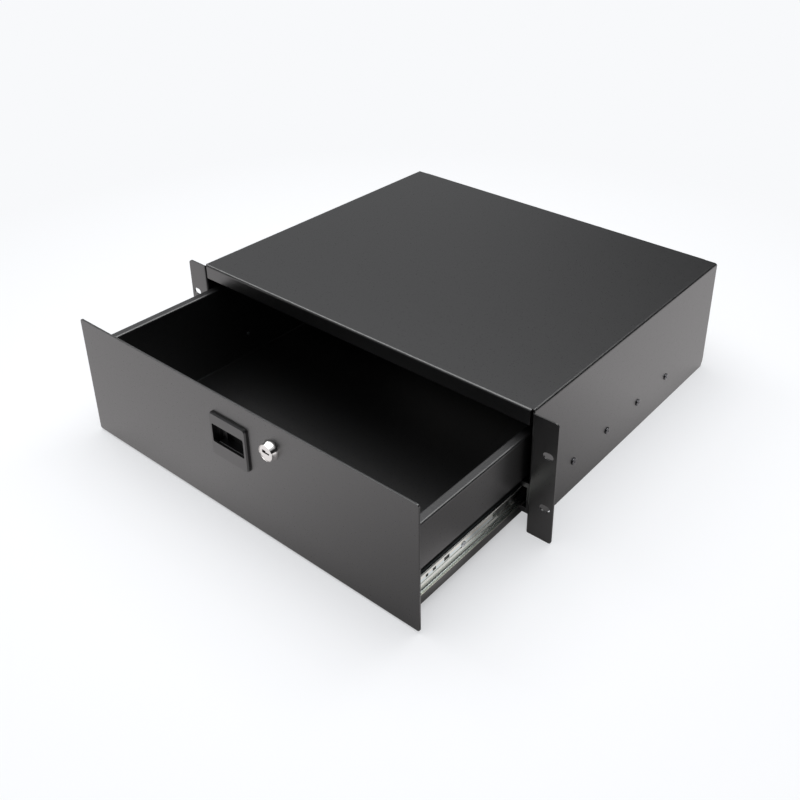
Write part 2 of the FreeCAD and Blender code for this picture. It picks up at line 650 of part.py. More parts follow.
def build_runner(name, side):
    body = new_body(name + "_drawer_slide", "drawer")
    pad(body, "XZ", "slide_setback", "runner_length", lambda s: runner_section(s, side))
    start = "slide_inner - slide_sheet" if side == 1 else "-slide_inner - 2 * slide_sheet"

    def holes(sketch):
        drawer_screw_row(sketch, "screw_diameter + 2 * race_clearance")
        circle(sketch, "slide_setback + 17", "slide_level", "3")
        half = "1.3"
        tall = "2"
        front = "slide_setback + 26"
        outline(sketch, [(f"{front} + {half}", f"slide_level - {tall}"),
                         (f"{front} + {half}", f"slide_level + {tall}", "half", 1),
                         (f"{front} - {half}", f"slide_level + {tall}"),
                         (f"{front} - {half}", f"slide_level - {tall}", "half", 1)])
        box_outline(sketch, "slide_setback + 39", "slide_level - 2.6", "slide_setback + 46", "slide_level + 2.6")
        circle(sketch, "slide_setback + 108.5", "slide_level", "4.5")

    cut(body, "YZ", start, "3 * slide_sheet", holes)


def faceted_ball(name):
    """A ball lofted through level rings, with flat facets so that it stays light."""
    rings = []
    for latitude in (-75, -50, -25, 0, 25, 50, 75):
        ring = doc.addObject("Part::RegularPolygon", name + "_ring")
        ring.Polygon = 14
        ring.setExpression("Circumradius", ex(f"ball_radius * cos({latitude} deg)"))
        ring.setExpression("Placement.Base.z", ex(f"ball_radius * sin({latitude} deg)"))
        rings.append(ring)
    ball = doc.addObject("Part::Loft", name)
    ball.Sections = rings
    ball.Solid = True
    ball.Ruled = True
    return ball


def build_cage(name, side):
    """A steel channel with a pocket for each ball, and the balls as their own node."""
    body = new_body(name + "_ball_cage", "cage")
    start = "cage_centre - cage_length / 2"
    web_out = "(cage_web + cage_sheet)"
    top = "(ball_rise + cage_sheet / 2)"

    def section(sketch):
        outline(sketch, [("cage_edge", f"slide_level - {top}"), (web_out, f"slide_level - {top}"),
                         (web_out, f"slide_level + {top}"), ("cage_edge", f"slide_level + {top}"),
                         ("cage_edge", f"slide_level + {top} - cage_sheet"),
                         ("cage_web", f"slide_level + {top} - cage_sheet"),
                         ("cage_web", f"slide_level - {top} + cage_sheet"),
                         ("cage_edge", f"slide_level - {top} + cage_sheet")], side)

    pad(body, "XZ", start, "cage_length", section)

    def pockets(sketch):
        for number in (-1, 0, 1):
            circle(sketch, "ball_line", f"cage_centre + {number} * ball_pitch", "2 * race_radius", side)

    cut(body, "XY", f"slide_level - {top} - 1", f"2 * {top} + 2", pockets)

    balls = []
    for row in (-1, 1):
        for number in (-1, 0, 1):
            ball = faceted_ball(f"{name}_ball")
            ball.setExpression("Placement.Base.x", ex(f"{side} * ball_line"))
            ball.setExpression("Placement.Base.y", ex(f"cage_centre + {number} * ball_pitch"))
            ball.setExpression("Placement.Base.z", ex(f"slide_level + {row} * ball_rise"))
            balls.append(ball)
    group = doc.addObject("Part::Compound", name + "_slide_balls")
    group.Label = name + "_slide_balls"
    group.Links = balls
    place(group, "cage")


def build_end_cap(name, side):
    """Moulded cap on the front of the case member: a frame around the drawer member, and a
    lead-in that lies on the web."""
    body = new_body(name + "_slide_cap", "case")
    opening = "(slide_inner + runner_depth + cap_clearance)"
    hook = "(slide_inner + 2)"
    tall = "(slide_height / 2 - 0.3)"
    low = "(runner_half + cap_clearance)"
    outside = "(case_inside - 0.3)"

    def frame(sketch):
        outline(sketch, [(hook, f"slide_level - {tall}"), (outside, f"slide_level - {tall}"),
                         (outside, f"slide_level + {tall}"), (hook, f"slide_level + {tall}"),
                         (hook, f"slide_level + {low}"), (opening, f"slide_level + {low}"),
                         (opening, f"slide_level - {low}"), (hook, f"slide_level - {low}")], side)

    pad(body, "XZ", "slide_setback - cap_sheet", "cap_sheet", frame)
    face = value("slide_setback - cap_sheet")
    chamfer(body, "0.4", lambda e: abs(e.CenterOfMass.y - face) < 1e-4)
    web = "(case_inside - slide_sheet)"
    half = "(slide_height / 4)"
    pad(body, "XZ", "slide_setback", "cap_reach",
        lambda s: box_outline(s, f"{web} - cap_web", f"slide_level - {half}", web, f"slide_level + {half}", side))


def build_bumper(name, side):
    """Rubber bumper in the back of the case member; the shut drawer member meets it."""
    body = new_body(name + "_slide_bumper", "case")
    start = "slide_setback + runner_length + bumper_gap"
    inner_face = "case_inside - slide_sheet"
    room = "slide_inner + 2"

    def section(sketch):
        half = "bumper_height / 2"
        outline(sketch, [(room, f"slide_level - {half} / 2"), (inner_face, f"slide_level - {half}"),
                         (inner_face, f"slide_level + {half}"), (room, f"slide_level + {half} / 2")], side)

    pad(body, "XZ", start, "bumper_length", section)
    fillet(body, "1", edge_at("y", x=room))


def screw_group(label, moves_with, head, shank, row, head_size, both):
    """Pan-head screws through both sides.  head and shank are (near, far) x formulas."""
    body = new_body(label, moves_with)
    for near, far, size in ((*shank, "screw_diameter"), (*head, head_size)):
        for side in SIDES.values():
            start = near if side == 1 else f"-({far})"
            pad(body, "YZ", start, f"({far}) - ({near})", lambda s: row(s, size))
    round_off = value(both)

    def head_rim(edge):
        if not isinstance(edge.Curve, Part.Circle):
            return False
        return abs(abs(edge.CenterOfMass.x) - round_off) < 1e-4 and edge.Curve.Radius > value(head_size) / 2 - 1e-4

    chamfer(body, f"({head[1]} - ({head[0]})) * 0.4", head_rim)


# ---------------------------------------------------------------- drawer
def tray_section(sketch):
    """Seen from the front: floor, sides, rims turned out and skirts folded down."""
    fold = "tray_fold"
    wall_in = "tray_inside"
    wall_out = "slide_inner"
    right_inside = [("rim_outside", "skirt_level"),
                    ("rim_outside", "tray_top - tray_fold", fold, 1),
                    ("rim_outside - tray_fold", "tray_top"),
                    (f"{wall_in} + tray_fold", "tray_top", fold, 1),
                    (wall_in, "tray_top - tray_fold"),
                    (wall_in, "tray_level + tray_fold", "bend_inner", -1),
                    (f"{wall_in} - bend_inner", "tray_level + tray_sheet")]
    right_outside = [(f"{wall_out} - tray_fold", "tray_level", fold, 1),
                     (wall_out, "tray_level + tray_fold"),
                     (wall_out, "tray_top - tray_fold", "bend_inner", -1),
                     (f"{wall_in} + tray_fold", "tray_top - tray_sheet"),
                     ("rim_outside - tray_fold", "tray_top - tray_sheet", "bend_inner", -1),
                     ("rim_outside - tray_sheet", "tray_top - tray_fold"),
                     ("rim_outside - tray_sheet", "skirt_level")]

    def mirror(half):
        mirrored = []
        for index in range(len(half) - 1, -1, -1):
            arc = tuple(half[index - 1][2:]) if index > 0 else ()
            mirrored.append((f"-({half[index][0]})", half[index][1]) + arc)
        return mirrored

    outline(sketch, right_inside + mirror(right_inside) + mirror(right_outside) + right_outside)


def build_tray():
    body = new_body("drawer_tray", "drawer")
    pad(body, "XZ", "front_back", "tray_end - front_back", tray_section)
    for start in ("tray_inside - tray_sheet", "-slide_inner - tray_sheet"):
        cut(body, "YZ", start, "3 * tray_sheet",
            lambda s: drawer_screw_row(s, "screw_diameter + 2 * race_clearance"))


def build_end_wall(label, front):
    """A plate with a weld flange folded back along each side wall."""
    body = new_body(label, "drawer")
    outer = "front_back" if front else "tray_end"
    inward = "+" if front else "-"
    turn = 1 if front else -1
    plate = f"({outer} {inward} tray_sheet)"
    folded = f"({outer} {inward} tray_fold)"
    flange = f"({outer} {inward} (tray_fold + wall_flange))"

    def section(sketch):
        half = [("tray_inside", flange), ("tray_inside", folded, "tray_fold", -turn),
                ("tray_inside - tray_fold", outer)]
        inner = [("tray_inside - tray_fold", plate, "bend_inner", turn),
                 ("tray_inside - tray_sheet", folded), ("tray_inside - tray_sheet", flange)]
        left = []
        for index in range(2, -1, -1):
            arc = tuple(half[index - 1][2:]) if index > 0 else ()
            left.append((f"-({half[index][0]})", half[index][1]) + arc)
        left_inner = []
        for index in range(2, -1, -1):
            arc = tuple(inner[index - 1][2:]) if index > 0 else ()
            left_inner.append((f"-({inner[index][0]})", inner[index][1]) + arc)
        outline(sketch, half + left + left_inner + inner)

    pad(body, "XY", "wall_level", "tray_top - wall_top_gap - wall_level", section)
    return body


def stud_places():
    for x_text in ("-stud_outer", "-stud_inner", "stud_inner", "stud_outer"):
        for z_text in ("stud_low", "stud_high"):
            yield x_text, z_text


def build_front_wall():
    body = build_end_wall("tray_front_wall", front=True)

    def openings(sketch):
        latch_half = "(pocket_width / 2 + 1)"
        above = "tray_top + 1"
        box_outline(sketch, f"-{latch_half}", "bezel_level - pocket_height / 2 - 1", latch_half, above)
        nut_room = "(lock_nut_across / 2 / cos(30 deg) + 1)"
        box_outline(sketch, f"lock_x - {nut_room}", f"lock_level - {nut_room}", f"lock_x + {nut_room}", above)
        for x_text, z_text in stud_places():
            circle(sketch, x_text, z_text, "screw_diameter + 2 * screw_clearance")

    cut(body, "XZ", "front_back - tray_sheet", "3 * tray_sheet", openings)


def build_drawer_front():
    body = new_body("drawer_front", "drawer")
    pad(body, "XZ", "front_face", "front_sheet",
        lambda s: box_outline(s, "-front_width / 2", "front_level", "front_width / 2", "front_level + front_height"))
    fillet(body, "front_round", edge_at("y", x="front_width / 2"))
    faces = [value("front_face"), value("front_back")]
    fillet(body, "front_edge", lambda e: min(abs(e.CenterOfMass.y - face) for face in faces) < 1e-4)

    def openings(sketch):
        half = "(pocket_width / 2 + pocket_fit)"
        rise = "(pocket_height / 2 + pocket_fit)"
        box_outline(sketch, f"-{half}", f"bezel_level - {rise}", half, f"bezel_level + {rise}")
        circle(sketch, "lock_x", "lock_level", "lock_thread + 2 * screw_clearance")

    cut(body, "XZ", "front_face - front_sheet", "3 * front_sheet", openings)


def build_front_fasteners():
    """Studs welded to the back of the drawer front, and their nuts on the tray wall."""
    studs = new_body("front_studs", "drawer")

    def stud_circles(sketch):
        for x_text, z_text in stud_places():
            circle(sketch, x_text, z_text, "screw_diameter")

    pad(studs, "XZ", "front_back", "tray_sheet + nut_height + screw_end", stud_circles)
    nuts = new_body("front_nuts", "drawer")

    def nut_rings(sketch):
        for x_text, z_text in stud_places():
            hexagon(sketch, x_text, z_text, "nut_across")
            circle(sketch, x_text, z_text, "screw_diameter + 2 * race_clearance")

    pad(nuts, "XZ", "front_back + tray_sheet", "nut_height", nut_rings)


# ---------------------------------------------------------------- latch
def build_latch_housing():
    """Moulded bezel and the body behind it that holds the sliding bolt."""
    body = new_body("latch_housing", "drawer")
    half = "bezel_width / 2"
    rise = "bezel_height / 2"
    pad(body, "XZ", "bezel_face", "bezel_proud",
        lambda s: box_outline(s, f"-{half}", f"bezel_level - {rise}", half, f"bezel_level + {rise}"))
    fillet(body, "bezel_round", edge_at("y", x=half))
    face = value("bezel_face")
    chamfer(body, "bezel_bevel", lambda e: abs(e.CenterOfMass.y - face) < 1e-4)
    pad(body, "XZ", "front_face", "pocket_end - front_face",
        lambda s: box_outline(s, "-pocket_width / 2", "bezel_level - pocket_height / 2",
                              "pocket_width / 2", "bezel_level + pocket_height / 2"))
    cavity_front = "(bezel_face + bezel_plate)"
    cut(body, "XZ", cavity_front, f"pocket_end - {cavity_front} + 1",
        lambda s: box_outline(s, "-pocket_half", "pocket_floor", "pocket_half", "pocket_roof"))
    for side in SIDES.values():
        pad(body, "XZ", "bolt_front - latch_slack - rail_thick", "rail_thick",
            lambda s, side=side: box_outline(s, "pocket_half - rail_width", "pocket_floor",
                                             "pocket_half", "pocket_roof", side))

    def grip(sketch):
        wide = "grip_width / 2"
        tall = "grip_height / 2"
        bend = "grip_round"
        outline(sketch, [(f"-{wide} + {bend}", f"grip_level - {tall}"),
                         (f"{wide} - {bend}", f"grip_level - {tall}", bend, 1),
                         (wide, f"grip_level - {tall} + {bend}"),
                         (wide, f"grip_level + {tall} - {bend}", bend, 1),
                         (f"{wide} - {bend}", f"grip_level + {tall}"),
                         (f"-{wide} + {bend}", f"grip_level + {tall}", bend, 1),
                         (f"-{wide}", f"grip_level + {tall} - {bend}"),
                         (f"-{wide}", f"grip_level - {tall} + {bend}", bend, 1)])

    cut(body, "XZ", "bezel_face - 1", "bezel_plate + 2", grip)
    tongue_half = "(tongue_width / 2 + latch_slack)"
    cut(body, "XY", "pocket_roof - 1", "pocket_wall + 2",
        lambda s: box_outline(s, f"-{tongue_half}", "bolt_front - latch_slack", tongue_half,
                              "bolt_front + bolt_thick + latch_slack"))


def build_latch_cover():
    body = new_body("latch_cover", "drawer")
    edge = "0.15"
    pad(body, "XZ", "cover_front", "cover_sheet",
        lambda s: box_outline(s, f"-pocket_half + {edge}", f"pocket_floor + {edge}",
                              f"pocket_half - {edge}", f"pocket_roof - {edge}"))


def build_latch_bolt():
    """Sliding bolt: guided plate with a finger recess, tongue with a ramp, and a finger tab."""
    body = new_body("latch_bolt", "drawer")
    half = "bolt_width / 2"
    pad(body, "XZ", "bolt_front", "bolt_thick",
        lambda s: box_outline(s, f"-{half}", "bolt_low", half, "bolt_shoulder"))

    def tongue_side(sketch):
        back = "bolt_front + bolt_thick"
        outline(sketch, [("bolt_front", "bolt_shoulder"), (back, "bolt_shoulder"),
                         (back, "tongue_top - tongue_ramp"),
                         (f"{back} - tongue_ramp", "tongue_top"), ("bolt_front", "tongue_top")])

    pad(body, "YZ", "-tongue_width / 2", "tongue_width", tongue_side)
    pad(body, "XZ", "bolt_front - tab_reach", "tab_reach",
        lambda s: box_outline(s, "-tab_width / 2", "tab_level", "tab_width / 2", "tab_level + tab_thick"))
    tab_front = value("bolt_front - tab_reach")
    fillet(body, "tab_thick * 0.4",
           lambda e: abs(e.CenterOfMass.y - tab_front) < 1e-4 and edge_at("x")(e))

    cut(body, "XZ", "bolt_front - 1", "recess_depth + 1",
        lambda s: box_outline(s, "-recess_half", "tab_level + tab_thick", "recess_half", "bolt_shoulder - recess_bar"))
    for side in SIDES.values():
        cut(body, "XY", "bolt_low - 1", "spring_top - bolt_low + 1",
            lambda s, side=side: circle(s, "spring_place", "bolt_middle", "spring_bore", side))


def build_latch_springs():
    """Two compression springs between the pocket floor and the bores in the bolt."""
    mean = "(spring_diameter - spring_wire) / 2"
    length = "(spring_top - pocket_floor - spring_wire)"
    coils = []
    for side_name, side_sign in SIDES.items():
        helix = doc.addObject("Part::Helix", side_name + "_spring_path")
        helix.setExpression("Radius", ex(mean))
        helix.setExpression("Height", ex(length))
        helix.setExpression("Pitch", ex(f"{length} / spring_turns"))
        wire = doc.addObject("Part::RegularPolygon", side_name + "_spring_wire_end")
        wire.Polygon = 4
        wire.setExpression("Circumradius", ex("spring_wire / 2"))
        wire.Placement.Rotation = FreeCAD.Rotation(FreeCAD.Vector(1, 0, 0), 90)
        wire.setExpression("Placement.Base.x", ex(mean))
        sweep = doc.addObject("Part::Sweep", side_name + "_spring_coil")
        sweep.Sections = [wire]
        sweep.Spine = (helix, ["Edge1"])
        sweep.Solid = True
        sweep.Frenet = True
        sweep.setExpression("Placement.Base.x", ex(f"{side_sign} * spring_place"))
        sweep.setExpression("Placement.Base.y", ex("bolt_middle"))
        sweep.setExpression("Placement.Base.z", ex("pocket_floor + spring_wire / 2"))
        coils.append(sweep)
    group = doc.addObject("Part::Compound", "latch_spring")
    group.Label = "latch_spring"
    group.Links = coils
    place(group, "drawer")


# ---------------------------------------------------------------- cam lock
def lock_circle(sketch, diameter):
    circle(sketch, "lock_x", "lock_level", diameter)


def build_lock_body():
    """Chromed head and threaded body with two flats, bored for the plug."""
    body = new_body("lock_body", "drawer")
    head = pad(body, "XZ", "lock_face", "lock_proud", lambda s: lock_circle(s, "lock_head - 2 * lock_taper"))
    head.setExpression("TaperAngle", ex("atan(lock_taper / lock_proud)"))
    doc.recompute()
    face = value("lock_face")
    chamfer(body, "lock_bevel", lambda e: abs(e.CenterOfMass.y - face) < 1e-4)

    def flatted(sketch):
        rise = "lock_flat / 2"
        reach = "sqrt((lock_thread / 2) ^ 2 - (lock_flat / 2) ^ 2)"
        outline(sketch, [(f"lock_x + {reach}", f"lock_level - {rise}", "lock_thread / 2", 1),
                         (f"lock_x + {reach}", f"lock_level + {rise}"),
                         (f"lock_x - {reach}", f"lock_level + {rise}", "lock_thread / 2", 1),
                         (f"lock_x - {reach}", f"lock_level - {rise}")])

    pad(body, "XZ", "front_face", "lock_end - front_face", flatted)
    cut(body, "XZ", "lock_face - 1", "plug_head + lock_recess + 1.1",
        lambda s: lock_circle(s, "2 * (face_radius + plug_fit)"))
    cut(body, "XZ", "lock_face - 1", "lock_end - lock_face + 2",
        lambda s: lock_circle(s, "plug_diameter + 2 * plug_fit"))
    inner = value("face_radius + plug_fit")
    chamfer(body, "plug_bevel",
            lambda e: abs(e.CenterOfMass.y - face) < 1e-4 and abs(e.Curve.Radius - inner) < 1e-4)


def build_lock_plug():
    """The turning plug: face with a keyway, barrel, and a square that drives the cam."""
    body = new_body("lock_plug", "drawer")
    pad(body, "XZ", "plug_face", "plug_head", lambda s: lock_circle(s, "2 * face_radius"))
    face = value("plug_face")
    chamfer(body, "plug_bevel", lambda e: abs(e.CenterOfMass.y - face) < 1e-4)
    pad(body, "XZ", "plug_face + plug_head", "cam_back - plug_face - plug_head",
        lambda s: lock_circle(s, "plug_diameter"))

    def square(sketch):
        half = "cam_square / 2"
        box_outline(sketch, f"lock_x - {half}", f"lock_level - {half}", f"lock_x + {half}", f"lock_level + {half}")

    pad(body, "XZ", "cam_back", "cam_sheet", square)

    def keyway(sketch):
        left = "lock_x - keyway_length / 2"
        right = "lock_x + keyway_length / 2"
        step = "lock_x - keyway_length / 2 + keyway_wide * 1.4"
        low = "lock_level - keyway_width / 2"
        outline(sketch, [(left, low), (right, low), (right, "lock_level + keyway_width / 2"),
                         (step, "lock_level + keyway_width / 2"),
                         (step, f"{low} + keyway_wide"), (left, f"{low} + keyway_wide")])

    cut(body, "XZ", "plug_face - 1", "keyway_depth + 1", keyway)
    cut(body, "XZ", "cam_back - 4", "cam_sheet + 5", lambda s: lock_circle(s, "3.1"))


def build_lock_nut():
    body = new_body("lock_nut", "drawer")

    def ring(sketch):
        hexagon(sketch, "lock_x", "lock_level", "lock_nut_across")
        lock_circle(sketch, "lock_thread + 2 * race_clearance")

    pad(body, "XZ", "front_back", "lock_nut_height", ring)


def build_lock_cam():
    """Cranked steel cam: it clears the nut and turns up behind the lip of the case."""
    body = new_body("lock_cam", "drawer")
    half = "cam_width / 2"
    near = "cam_crank"

    def path(sketch):
        back = "(cam_back + cam_sheet)"
        tip_back = "(cam_tip_front + cam_sheet)"
        fold = "(cam_sheet + 0.5)"
        outline(sketch, [(f"lock_x - {half}", "cam_back"),
                         (f"lock_x + {near} - 0.5", "cam_back", "0.5", -1),
                         (f"lock_x + {near}", "cam_back - 0.5"),
                         (f"lock_x + {near}", f"cam_tip_front + {fold}", fold, 1),
                         (f"lock_x + {near} + {fold}", "cam_tip_front"),
                         ("lock_x + cam_reach", "cam_tip_front"),
                         ("lock_x + cam_reach", tip_back),
                         (f"lock_x + {near} + {fold}", tip_back, "0.5", -1),
                         (f"lock_x + {near} + cam_sheet", f"{tip_back} + 0.5"),
                         (f"lock_x + {near} + cam_sheet", "cam_back - 0.5", fold, 1),
                         (f"lock_x + {near} - 0.5", back),
                         (f"lock_x - {half}", back)])

    pad(body, "XY", f"lock_level - {half}", "cam_width", path)

    def square(sketch):
        size = "(cam_square / 2 + race_clearance)"
        box_outline(sketch, f"lock_x - {size}", f"lock_level - {size}", f"lock_x + {size}", f"lock_level + {size}")

    cut(body, "XZ", "cam_back - 1", "cam_sheet + 2", square)


def build_cam_screw():
    body = new_body("lock_cam_screw", "drawer")
    head_start = "cam_back + cam_sheet"
    pad(body, "XZ", head_start, "cam_screw_height", lambda s: lock_circle(s, "cam_screw_head"))
    pad(body, "XZ", f"{head_start} - 4", "4", lambda s: lock_circle(s, "3"))
    rim = value(f"{head_start} + cam_screw_height")
    chamfer(body, "cam_screw_height * 0.35", lambda e: abs(e.CenterOfMass.y - rim) < 1e-4)


# ---------------------------------------------------------------- build everything
build_case_shell()
build_rear_panel()
for side_name, side_sign in SIDES.items():
    build_case_member(side_name, side_sign)
    build_end_cap(side_name, side_sign)
    build_bumper(side_name, side_sign)
    build_runner(side_name, side_sign)
    build_cage(side_name, side_sign)
screw_group("case_slide_screws", "case",
            ("case_half", "case_half + screw_head_height"),
            ("case_inside - slide_sheet - screw_end", "case_half"),
            case_screw_row, "screw_head_diameter", "case_half + screw_head_height")
screw_group("drawer_slide_screws", "drawer",
            ("slide_inner + slide_sheet", "slide_inner + slide_sheet + runner_head_height"),
            ("tray_inside - screw_end", "slide_inner + slide_sheet"),
            drawer_screw_row, "runner_head_diameter", "slide_inner + slide_sheet + runner_head_height")
build_tray()
build_front_wall()
build_end_wall("tray_rear_wall", front=False)
build_drawer_front()
build_front_fasteners()
build_latch_housing()
build_latch_cover()
build_latch_bolt()
build_latch_springs()
build_lock_body()
build_lock_plug()
build_lock_nut()
build_lock_cam()
build_cam_screw()

# ---------------------------------------------------------------- check and export
doc.recompute()
for item in doc.Objects:
    if "Invalid" in item.State or "Error" in item.State:
        raise RuntimeError(f"{item.Name} did not recompute: {item.State}")
for label, item in PARTS.items():
    if item.Shape.isNull() or not item.Shape.isValid():
        raise RuntimeError(f"{label} has no valid shape")
os.makedirs("parts", exist_ok=True)
for label, item in PARTS.items():
    item.Shape.exportStep(f"parts/{label}.step")
    box = item.Shape.BoundBox
    print(f"{label}: {len(item.Shape.Solids)} solids, {item.Shape.Volume / 1000:.2f} cm3, "
          f"x {box.XMin:.1f}..{box.XMax:.1f}, y {box.YMin:.1f}..{box.YMax:.1f}, z {box.ZMin:.1f}..{box.ZMax:.1f}")
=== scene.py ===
# %% [markdown]
# # Sliding rack drawer
#
# A steel drawer for a 19-inch equipment rack. The case bolts to the rack by its two ears, and the
# drawer runs in it on ball slides. The solids come in as a fixed frame in metres. This lesson
# gives them their finishes, models the small parts that need more care than the solids have, and
# puts the object on a white studio floor.

# %% Load the frame
import json
import math

import bpy
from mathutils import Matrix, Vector


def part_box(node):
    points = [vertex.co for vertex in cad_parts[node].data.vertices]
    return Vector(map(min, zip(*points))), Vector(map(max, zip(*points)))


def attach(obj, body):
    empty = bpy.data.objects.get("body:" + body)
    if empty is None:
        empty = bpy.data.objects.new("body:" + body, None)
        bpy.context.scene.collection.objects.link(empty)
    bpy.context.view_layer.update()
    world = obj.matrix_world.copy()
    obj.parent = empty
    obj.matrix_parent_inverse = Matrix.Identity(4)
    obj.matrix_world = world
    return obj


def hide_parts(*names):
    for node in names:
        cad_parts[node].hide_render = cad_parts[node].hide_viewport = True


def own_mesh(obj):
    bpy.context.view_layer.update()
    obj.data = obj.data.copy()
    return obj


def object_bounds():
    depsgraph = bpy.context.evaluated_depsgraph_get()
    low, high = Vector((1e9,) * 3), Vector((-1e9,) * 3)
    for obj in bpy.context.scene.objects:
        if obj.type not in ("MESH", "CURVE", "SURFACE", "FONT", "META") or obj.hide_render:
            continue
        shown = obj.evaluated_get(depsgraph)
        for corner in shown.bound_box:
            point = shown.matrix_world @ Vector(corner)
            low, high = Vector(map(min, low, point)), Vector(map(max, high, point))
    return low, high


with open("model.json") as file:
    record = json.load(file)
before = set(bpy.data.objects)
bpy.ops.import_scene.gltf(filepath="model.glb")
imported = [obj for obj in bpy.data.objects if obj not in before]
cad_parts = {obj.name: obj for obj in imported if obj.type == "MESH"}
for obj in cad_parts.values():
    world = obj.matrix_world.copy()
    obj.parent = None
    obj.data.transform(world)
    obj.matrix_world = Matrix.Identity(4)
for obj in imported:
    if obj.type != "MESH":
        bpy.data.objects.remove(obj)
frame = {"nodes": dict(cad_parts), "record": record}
cad_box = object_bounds()
scene = bpy.context.scene
scene.view_settings.view_transform = "Standard"
nodes = frame["nodes"]
MM = 0.001

# %% [markdown]
# ## Camera
#
# The object is seen from its front right, from a little above. A fairly long lens keeps the sheet
# edges nearly parallel. The object stands off the axis of the lens, so the lens is shifted instead
# of the camera being turned, which would tilt the upright edges.

# %% Camera
camera_data = bpy.data.cameras.new("camera")
camera = bpy.data.objects.new("camera", camera_data)
scene.collection.objects.link(camera)
camera.location = (0.57455, -0.57137, 0.54659)
camera.rotation_euler = [math.radians(angle) for angle in (62.1253, -0.9539, 37.8412)]
camera_data.sensor_width = 36.0
camera_data.lens = 43.65
camera_data.shift_x = -0.0801
camera_data.shift_y = -0.1488
camera_data.clip_start = 0.01
scene.camera = camera
print("camera at", tuple(round(c, 3) for c in camera.location))

# %% [markdown]
# ## Colours and nodes
#
# A hex colour is written as a screen shows it. Shaders work with linear light, so one function
# turns hex into linear. A second one adds a node with its settings and its links, and every
# material below is built with it. The other two start a node tree and a material.

# %% Colour and node helpers
def linear(code):
    """A hex colour, as a screen shows it, in linear light and opaque."""
    channels = [int(code[i:i + 2], 16) / 255 for i in (1, 3, 5)]
    return [c / 12.92 if c <= 0.04045 else ((c + 0.055) / 1.055) ** 2.4 for c in channels] + [1.0]


def add_node(tree, kind, settings=(), links=()):
    """Add one node. Settings name a property or an input, links name an input and its source."""
    node = tree.nodes.new(kind)
    for name, content in dict(settings).items():
        if isinstance(name, str) and hasattr(node, name):
            setattr(node, name, content)
        else:
            node.inputs[name].default_value = content
    for name, source in dict(links).items():
        tree.links.new(source, node.inputs[name])
    return node


def empty_tree(owner):
    """Turn on the nodes of a material or world, and clear them."""
    owner.use_nodes = True
    owner.node_tree.nodes.clear()
    return owner.node_tree


def new_material(name, shader_settings):
    """A material with one Principled shader. Returns the material, its tree and the shader."""
    material = bpy.data.materials.new(name)
    tree = empty_tree(material)
    shader = add_node(tree, "ShaderNodeBsdfPrincipled", shader_settings)
    add_node(tree, "ShaderNodeOutputMaterial", links={"Surface": shader.outputs["BSDF"]})
    return material, tree, shader


WHITE = linear("#f8f9fb")
print("white in linear light:", [round(c, 3) for c in WHITE[:3]])

# %% [markdown]
# ## Floor
#
# The drawer stands on white studio paper. Paper that only takes light would need lamps so strong
# that they wash out the black paint. So its material has two sides: one for the paint and the
# steel that mirror the paper, and one for the camera that looks at it.

# %% Floor sheet
FLOOR_SIZE = 16.0

bpy.ops.object.select_all(action="DESELECT")
bpy.ops.mesh.primitive_plane_add(size=FLOOR_SIZE, location=(0, 0, cad_box[0][2]))
floor = bpy.context.object
floor.name = "studio_floor"
bpy.ops.object.transform_apply(location=True, rotation=True, scale=True)

paper = bpy.data.materials.new("white_studio_paper")
paper_tree = empty_tree(paper)
floor.data.materials.append(paper)
print("floor at", round(cad_box[0][2], 5))

# %% [markdown]
# ## What the object mirrors of the floor
#
# The mirrored paper is bright, with a painted shadow where the object covers it and a painted
# shade near the right front corner. That painted shade is what makes the drawer front darken from
# left to right and keeps the drawer's side and the ear darker than the case. A small painted
# bright patch beside the open slide fills the steel with light.

# %% Mirrored floor
MIRRORED_LEVEL = 0.91
# Painted shade: the mirrored paper is dimmer around this place
SHADE_PLACE = (0.24, -0.07, 0.0)
SHADE_NEAR, SHADE_FAR = 0.06, 0.34      # metres from its place: full up to here, gone from here
SHADE_LEVEL = 0.20
# Painted shadow: the mirrored paper is darkened where the object covers it
COVER_REACH = 0.06                      # metres within which the object covers the paper
COVERED, UNCOVERED = 0.10, 0.45         # open share: dark up to the first, bright from the second
COVERED_LEVEL = 0.02
# Painted bright patch in the mirrored paper beside the slide, seen only in reflections
PAINTED_PATCH_PLACE = (0.232, -0.090, 0.0)
PAINTED_PATCH_SHAPE = (1.25, 0.5, 0.0)           # makes the patch narrow across and long beside the slide
PAINTED_PATCH_NEAR, PAINTED_PATCH_FAR = 0.022, 0.034      # as for the painted shade, measured in the patch's own shape
PAINTED_PATCH_LEVEL = 0.78

spot = add_node(paper_tree, "ShaderNodeTexCoord")
away = add_node(paper_tree, "ShaderNodeVectorMath",
                {"operation": "DISTANCE", 1: SHADE_PLACE}, {0: spot.outputs["Object"]})
# painted shade around SHADE_PLACE
shaded = add_node(paper_tree, "ShaderNodeMapRange",
                  {"From Min": SHADE_NEAR, "From Max": SHADE_FAR,
                   "To Min": SHADE_LEVEL, "To Max": MIRRORED_LEVEL},
                  {"Value": away.outputs["Value"]})
